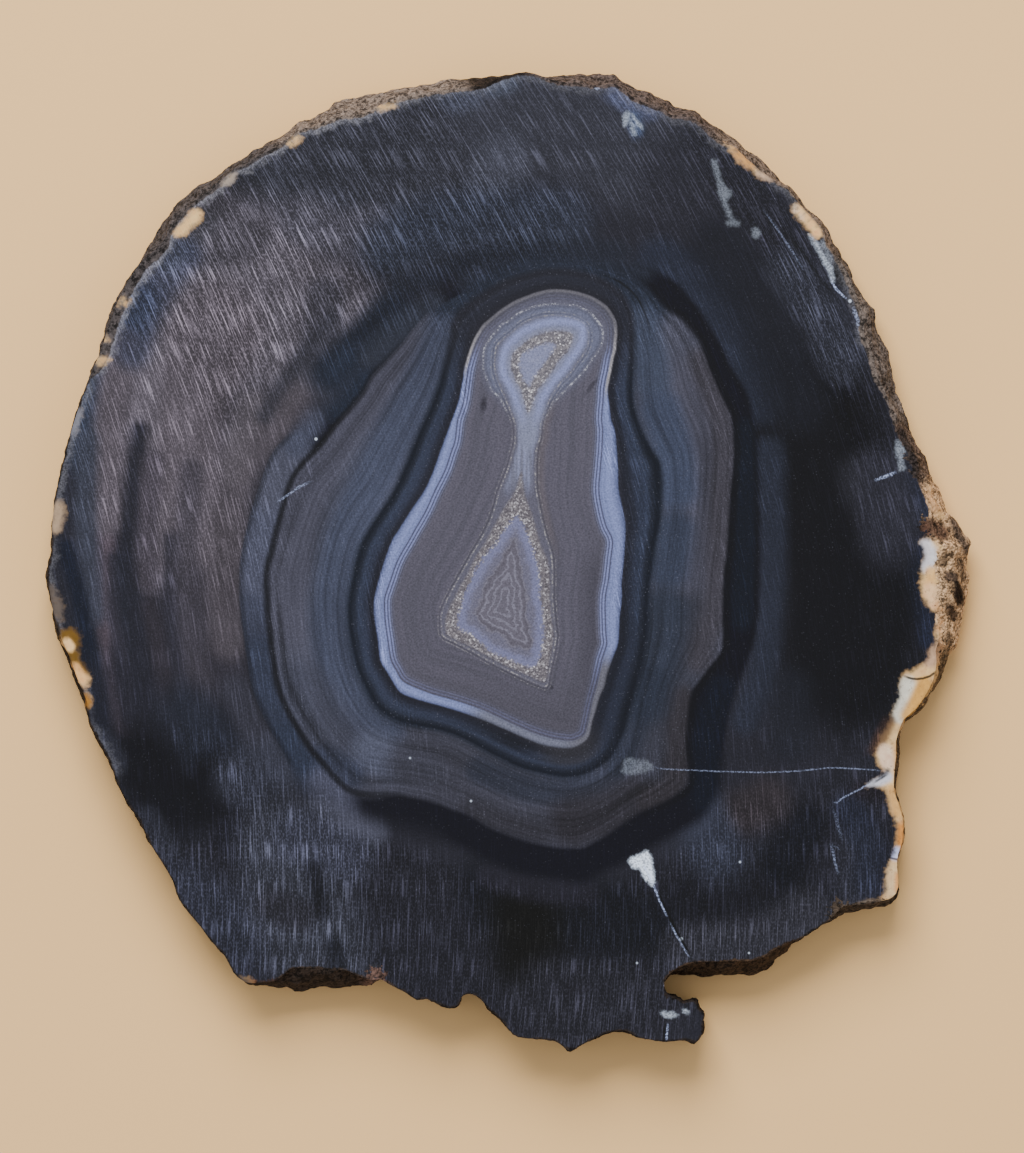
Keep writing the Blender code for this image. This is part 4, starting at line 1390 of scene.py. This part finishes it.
# %% The core's body, bright line and hairlines
inside_core = rise(core_at, 1.1, -0.7)
bright_at = stored("bright_inner")
faint_rings = cloud(point(bright_at * 0.20, slow_parts, slow_height), 1.0, 1.0, 0.6)
body = mix(tone(93, 91, 105), tone(101, 98, 113), rise(faint_rings, 0.35, 0.65))
body = mix(body, tone(82, 80, 92), rise(height_at, -60.0, -190.0) * 0.7)
body = mix(body, tone(80, 78, 91), rise(across_at, 62.0, 84.0) * rise(height_at, 30.0, -20.0) * 0.8)
HAIR_LIGHT, HAIR_DARK = tone(138, 145, 178), tone(92, 95, 122)
hairlines = ramp(
    bright_at * -0.08 * (1 - 0.25 * right_side),
    (0.00, HAIR_LIGHT), (0.06, HAIR_DARK), (0.13, HAIR_DARK), (0.19, HAIR_LIGHT), (0.27, HAIR_LIGHT),
    (0.33, HAIR_DARK), (0.38, HAIR_DARK), (0.44, tone(138, 144, 176)), (0.50, tone(132, 138, 168)),
    (0.57, tone(88, 88, 108)), (0.65, tone(114, 117, 140)), (0.74, tone(90, 88, 104)),
    (0.84, tone(104, 104, 122)), (1.0, tone(96, 94, 109)),
)
on_flank = rise(height_at, 222.0, 190.0) * rise(height_at, -130.0, -70.0)
body = mix(body, hairlines, rise(bright_at, -12.2, -9.5) * (0.2 + 0.8 * on_flank))
bright_share = core_at / (core_at - bright_at)
line_light = ramp(
    bright_share,
    (0.0, 0.40), (0.12, 0.62), (0.3, 0.86), (0.5, 1.0),
    (0.66, 0.98), (0.78, 0.80), (0.86, 0.94), (1.0, 0.7),
)
line_colour = mix(stored_colour("bright_line"), line_light, 1.0, "MULTIPLY")
body = mix(body, line_colour, rise(bright_at, -0.7, 0.7))

# %% [markdown]
# ### Crystals
# Tiny quartz crystals fill the teardrop and the band of the foot. Each is a cell with its own random
# brightness: most are tan, some are dark gaps, and a few are painted white glints.

# %% Crystals
crystals = ramp(
    crystal_value * 0.85 + fine_grain * 0.2 - 0.02,
    (0.0, tone(66, 60, 66)), (0.25, tone(92, 87, 92)), (0.5, tone(120, 115, 118)),
    (0.75, tone(148, 144, 146)), (0.92, tone(192, 191, 194)), (1.0, tone(236, 236, 238)),
)

# %% [markdown]
# ### The vase
# From the outside in: a dotted ring, blue grey, the vase's fine double line, and lilac, with the
# crystals on top. Inside the foot the lilac folds into nested wavy rings, which noise bends. Three
# dark smudges are small lopsided spots of their own.

# %% The vase and its head
vase_at = stored("vase") + 1.0 * tremble
ring_at = stored("dotted_ring") + 1.2 * tremble
lilac_at = stored("lilac") + 2.4 * tremble
drop_out = stored("teardrop_out") + 3.0 * tremble
drop_in = stored("teardrop_in") + 3.2 * tremble
dots = rise(crystal_value, 0.60, 0.92)
in_head = rise(height_at, 130.0, 175.0)
in_neck = rise(height_at, -10.0, 40.0) * rise(height_at, 175.0, 140.0)

body = mix(body, tone(88, 87, 99), rise(core_at, -15.0, -4.0) * rise(height_at, 205.0, 245.0) * 0.8)
body = mix(body, tone(108, 110, 130), rise(ring_at, 8.0, 0.0) * in_head * 0.45)
body = mix(body, tone(114, 118, 140), rise(ring_at, 0.5, -5.0) * in_head * 0.85)
dotted = stripe(ring_at, -1.3, 0.7, 0.5) * (0.08 + 0.92 * dots)
body = mix(body, tone(172, 173, 180), dotted * in_head * 0.85)
body = mix(body, tone(82, 84, 98), stripe(ring_at, -4.0, -2.4, 0.8) * in_head * 0.35)
brown_neck = stripe(vase_at, 2.0, 8.0, 4.0) * rise(across_at, 15.0, 30.0)
body = mix(body, tone(112, 104, 108), brown_neck * in_neck * 0.5)
body = mix(body, tone(106, 105, 121), rise(vase_at, 1.0, -1.0) * 0.8)
neck_streaks = cloud(point(across_at * 0.34, height_at * 0.02, 2.0), 1.0, 0.0)
neck_light = rise(vase_at, -1.5, -6.0) * rise(height_at, 60.0, 90.0) * rise(height_at, 170.0, 140.0)
body = mix(body, mix(tone(122, 124, 142), tone(140, 144, 166), rise(neck_streaks, 0.3, 0.75)), neck_light)
fine_double = stripe(vase_at, -1.3, 0.1, 0.5) + stripe(vase_at, 2.4, 3.4, 0.5) * 0.5
body = mix(body, tone(162, 160, 162), fine_double * (0.12 + 0.88 * dots) * 0.85)
body = mix(body, tone(76, 74, 84), stripe(vase_at, 0.9, 1.9, 0.5) * 0.45)
lilac = mix(tone(126, 130, 152), tone(144, 150, 179), stripe(lilac_at, -9.0, -2.0, 4.0))
lilac = mix(lilac, tone(142, 145, 165), rise(drop_out, 6.0, 1.0) * 0.7)
lilac = mix(tone(136, 140, 160), lilac, rise(height_at, 125.0, 170.0))
body = mix(body, lilac, rise(lilac_at, 4.0, -5.0))
drop_crystals = mix(crystals, tone(142, 141, 152), 0.35)
body = mix(body, drop_crystals, rise(drop_out + 2.0 * (crystal_value - 0.5), 2.2, -2.0))
body = mix(body, tone(140, 144, 168), rise(drop_in + 3.0 * tremble, 2.2, -2.6) * 0.9)

# %% The foot
foot_out = stored("foot_out") + 2.0 * tremble
foot_in = stored("foot_in") + 6.0 * tremble + 6.0 * wobble + 2.5 * (crystal_value - 0.5)
foot_crystals = mix(crystals, tone(128, 124, 134), 0.4)
body = mix(body, foot_crystals, rise(foot_out + 2.0 * (crystal_value - 0.5), 2.0, -2.0))
foot_lilac = mix(tone(116, 115, 134), tone(128, 130, 158), rise(foot_in, -11.0, -4.0))
body = mix(body, foot_lilac, rise(foot_in, 1.8, -2.0) * 0.95)

# %% The nested rings of the foot
bend = cloud(ruler, 0.09, 1.0) - 0.5
heart_at = stored("heart") + 10.0 * bend + 5.0 * tremble
nested = rise((heart_at + 1.0).function("SINE"), 0.1, 1.0)
heart_colour = mix(tone(112, 108, 121), tone(134, 132, 146), nested)
heart_colour = mix(heart_colour, tone(100, 96, 108), stripe(heart_at, -3.0, 0.5, 1.5) * 0.8)
body = mix(body, heart_colour, rise(heart_at, 3.5, 0.5) * rise(foot_in, -1.5, -4.0) * 0.9)

# %% The dark smudges
SMUDGES = [
    (483.6, 404.5, 7.5, 3.2, 0.1, 0.75), (591.5, 386.5, 8.0, 2.6, 0.68, 0.55),
    (551.4, 687.5, 2.5, 2.0, 0.0, 0.6),
]
for smudge_across, smudge_down, tall, wide, lean, strength in SMUDGES:
    smudge_x, smudge_y = on_slab(smudge_across, smudge_down)
    above = height_at - smudge_y / PIXEL
    beside = (across_at - smudge_x / PIXEL - above * lean) / wide
    above = above / tall
    away = (beside * beside + above * above).function("SQRT") + 0.8 * tremble
    body = mix(body, tone(48, 46, 56), rise(away, 1.5, 0.3) * strength)
colour = mix(ground, body, inside_core)

# %% [markdown]
# ### Specks, scratches and patches on the cut
# These lie over the bands, because the saw and the weather came after them. The saw's scratches go in
# as painted highlights on their grooves, with painted shade between them.

# %% Lay the marks over the bands
cut = stored("face")
outside_core = rise(core_at, -6.0, 6.0)
colour = mix(colour, grey(0.5 + (fine_grain - 0.5) * 1.1), 0.5, "OVERLAY")
colour = mix(colour, tone(146, 148, 162), specks * (0.08 + 0.12 * inside_hood) * (0.5 + 0.5 * outside_core))
# Painted highlight and shade of the saw's grooves, multiplied into the colour.
colour = mix(colour, grey(saw_sheen_gain), 1.0, "MULTIPLY")

# %% White and dark patches
milky = 0.5 + 0.7 * rise(fine_grain + 0.5 * ragged, 0.34, 0.60)
white_mask = rise(stored("white_at") + 4.0 * tremble + 3.0 * ragged, 2.4, -2.4)
colour = mix(colour, tone(206, 210, 220), white_mask * stored("white_strength") * milky)
dark_mask = rise(stored("dark_at") + 4.0 * tremble, 1.2, -1.2) * stored("dark_strength")
colour = mix(colour, tone(22, 20, 22), dark_mask)
WHITE_DOTS = [
    (316, 439, 1.4), (410, 758, 1.0), (471, 801, 1.1), (637, 963, 1.0), (740, 862, 1.1), (749, 953, 1.0),
    (681, 939, 1.8), (861, 331, 1.9), (850, 301, 1.6), (638, 102, 1.1),
]
dots_light = 0.0
for dot_across, dot_down, reach in WHITE_DOTS:
    dot_x, dot_y = on_slab(dot_across, dot_down)
    dot_place = (dot_x / PIXEL, dot_y / PIXEL, slab_high.z / PIXEL)
    away = vector_sum("DISTANCE", ruler, dot_place, output="Value")
    dots_light = rise(away, reach + 0.7, reach - 0.7, 0.3 + 0.2 * reach) + dots_light
colour = mix(colour, tone(206, 210, 222), dots_light)

# %% Draw the cracks
crack_wave = 1.6 * tremble + 0.8 * wobble
pale_side = (stored("pale_crack_side") + crack_wave).function("ABSOLUTE")
pale_crack = rise(pale_side, 1.6, 0.4) * stored("pale_crack_strength")
colour = mix(colour, tone(196, 202, 216), pale_crack * (0.25 + 1.1 * rise(fine_grain, 0.42, 0.6)))

# %% [markdown]
# ### Skin, fringe and rind
# The skin is smooth, so it keeps its painted colours. The rind takes its painted colour times a coarse
# grain, which gives dark gaps between pale grains. Down the side there is nothing but rind.

# %% The skin, the fringe and the rind
level_at = across_at.other(2)
rind_grain = cloud(ruler, 0.20, 3.0, 0.75)
near_front = rise(level_at + 20.0 * ragged, 34.0, 50.0)
skin_mask = rise(stored("skin_at") + 10.0 * ragged, 4.6, -3.6)
skin_mask = skin_mask * rise(cut + near_front, 0.2, 0.8)
skin_colour = mix(stored_colour("skin_colour"), grey(0.5 + 0.7 * ragged), 0.5, "OVERLAY")
skin_colour = mix(skin_colour, tone(140, 108, 76), rise(rind_grain, 0.56, 0.72) * 0.5)
past_rind = stored("rim") - stored("rind_width")
fringe_light = rise(past_rind + 16.0 * ragged, 9.0, 0.0) * stored("fringe")
fringe_light = fringe_light * (0.4 + 0.8 * rise(fine_grain, 0.35, 0.65))
colour = mix(colour, tone(178, 178, 184), fringe_light * cut)
colour = mix(colour, skin_colour, skin_mask)
rind_gain = 0.22 + 1.25 * rise(rind_grain, 0.40, 0.60) + 0.8 * rise(crystal_value, 0.6, 1.0)
rind_colour = mix(stored_colour("rind_colour"), grey(rind_gain), 1.0, "MULTIPLY")
on_crust = rise(stored("rind_at") + 26.0 * ragged, 1.2, -1.2) * stored("rind_strength")
on_strip = rise(past_rind + 5.0 * ragged, 1.2, -0.8)
rind_mask = (rise(cut, 0.5, 0.0) + on_strip) * (1 - skin_mask * 0.8) + on_crust
colour = mix(colour, rind_colour, rind_mask)
dark_side = (stored("dark_crack_side") + crack_wave * 0.5).function("ABSOLUTE")
dark_crack = rise(dark_side, 1.6, 0.5) * stored("dark_crack_strength")
colour = mix(colour, tone(20, 19, 24), dark_crack)

# %% [markdown]
# ### Gloss and relief
# A sawn cut is dull, a little smoother over the dense core. The rind is rough, and the crystals glint.
# One height feeds a single Bump node: fine pits where the ground is rough, and the saw's scratches.

# %% Roughness, bump and the shader
crystal_zone = rise(stored("foot_out"), 0.6, -0.6) * rise(stored("foot_in"), -0.8, 0.8)
rind_here = Shade.node("ShaderNodeClamp", {}, {"Value": rind_mask})
rough = 0.52 + rind_here * 0.35 - 0.08 * inside_core
rough = rough - crystal_zone * rise(crystal_value, 0.7, 0.95) * 0.25
pits = cloud(ruler, 0.4, 0.0)
rough_ground = rise(cut, 0.5, 0.0) * 1.3 + rise(stored("rind_at"), 2.0, -2.0) + crystal_zone * 0.6
relief = pits * rough_ground + fine_lines * marks * 0.2
bump = Shade.node("ShaderNodeBump", {}, {"Strength": 0.5, "Distance": 0.0003, "Height": relief})
finish = Shade.node(
    "ShaderNodeBsdfPrincipled",
    {},
    {"Base Color": colour, "Roughness": rough, "Normal": bump, "Specular IOR Level": 0.14},
)
Shade.node("ShaderNodeOutputMaterial", {}, {"Surface": finish})
slab_mesh.materials.append(agate)
print("nodes:", len(agate.node_tree.nodes))

# %% [markdown]
# ## Ride, floor and light
# The slab has no moving part, so it rides on the root body and stands in for the plain solid. The floor
# is a pale plain sheet, and a wide soft lamp beyond the top gives the faint shadow that the
# photograph has below the slab.

# %% Put the slab on its body
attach(slab, "root")
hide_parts("agate_slab")

# %% The floor
FLOOR_SIZE = 4.0
floor_shape = bmesh.new()
bmesh.ops.create_grid(floor_shape, x_segments=1, y_segments=1, size=FLOOR_SIZE / 2)
bmesh.ops.translate(floor_shape, verts=floor_shape.verts, vec=(0, 0, slab_low.z))
floor_mesh = bpy.data.meshes.new("floor")
floor_shape.to_mesh(floor_mesh)
floor_shape.free()
floor = bpy.data.objects.new("floor", floor_mesh)
bpy.context.scene.collection.objects.link(floor)
pale_floor = bpy.data.materials.new("pale_floor")
pale_floor.use_nodes = True
floor_shader = pale_floor.node_tree.nodes["Principled BSDF"]
floor_shader.inputs["Base Color"].default_value = tone(211, 195, 158)
floor_shader.inputs["Roughness"].default_value = 0.9
floor_mesh.materials.append(pale_floor)

# %% The lights
LAMP_PLACE = Vector((-0.22, 1.06, 0.99))
LAMP_SIZE, LAMP_POWER = 1.0, 40.0
ROOM_LIGHT = 0.745
lamp_data = bpy.data.lights.new("soft_lamp", "AREA")
lamp_data.shape = "SQUARE"
lamp_data.size = LAMP_SIZE
lamp_data.energy = LAMP_POWER
lamp_data.color = (1.0, 0.98, 0.95)
lamp = bpy.data.objects.new("soft_lamp", lamp_data)
lamp.location = LAMP_PLACE
lamp.rotation_mode = "QUATERNION"
lamp.rotation_quaternion = (-LAMP_PLACE).to_track_quat("-Z", "Y")
bpy.context.scene.collection.objects.link(lamp)
room = bpy.data.worlds.new("room")
room.use_nodes = True
sky = room.node_tree.nodes["Background"]
sky.inputs["Color"].default_value = (0.95, 0.97, 1.0, 1)
sky.inputs["Strength"].default_value = ROOM_LIGHT
bpy.context.scene.world = room
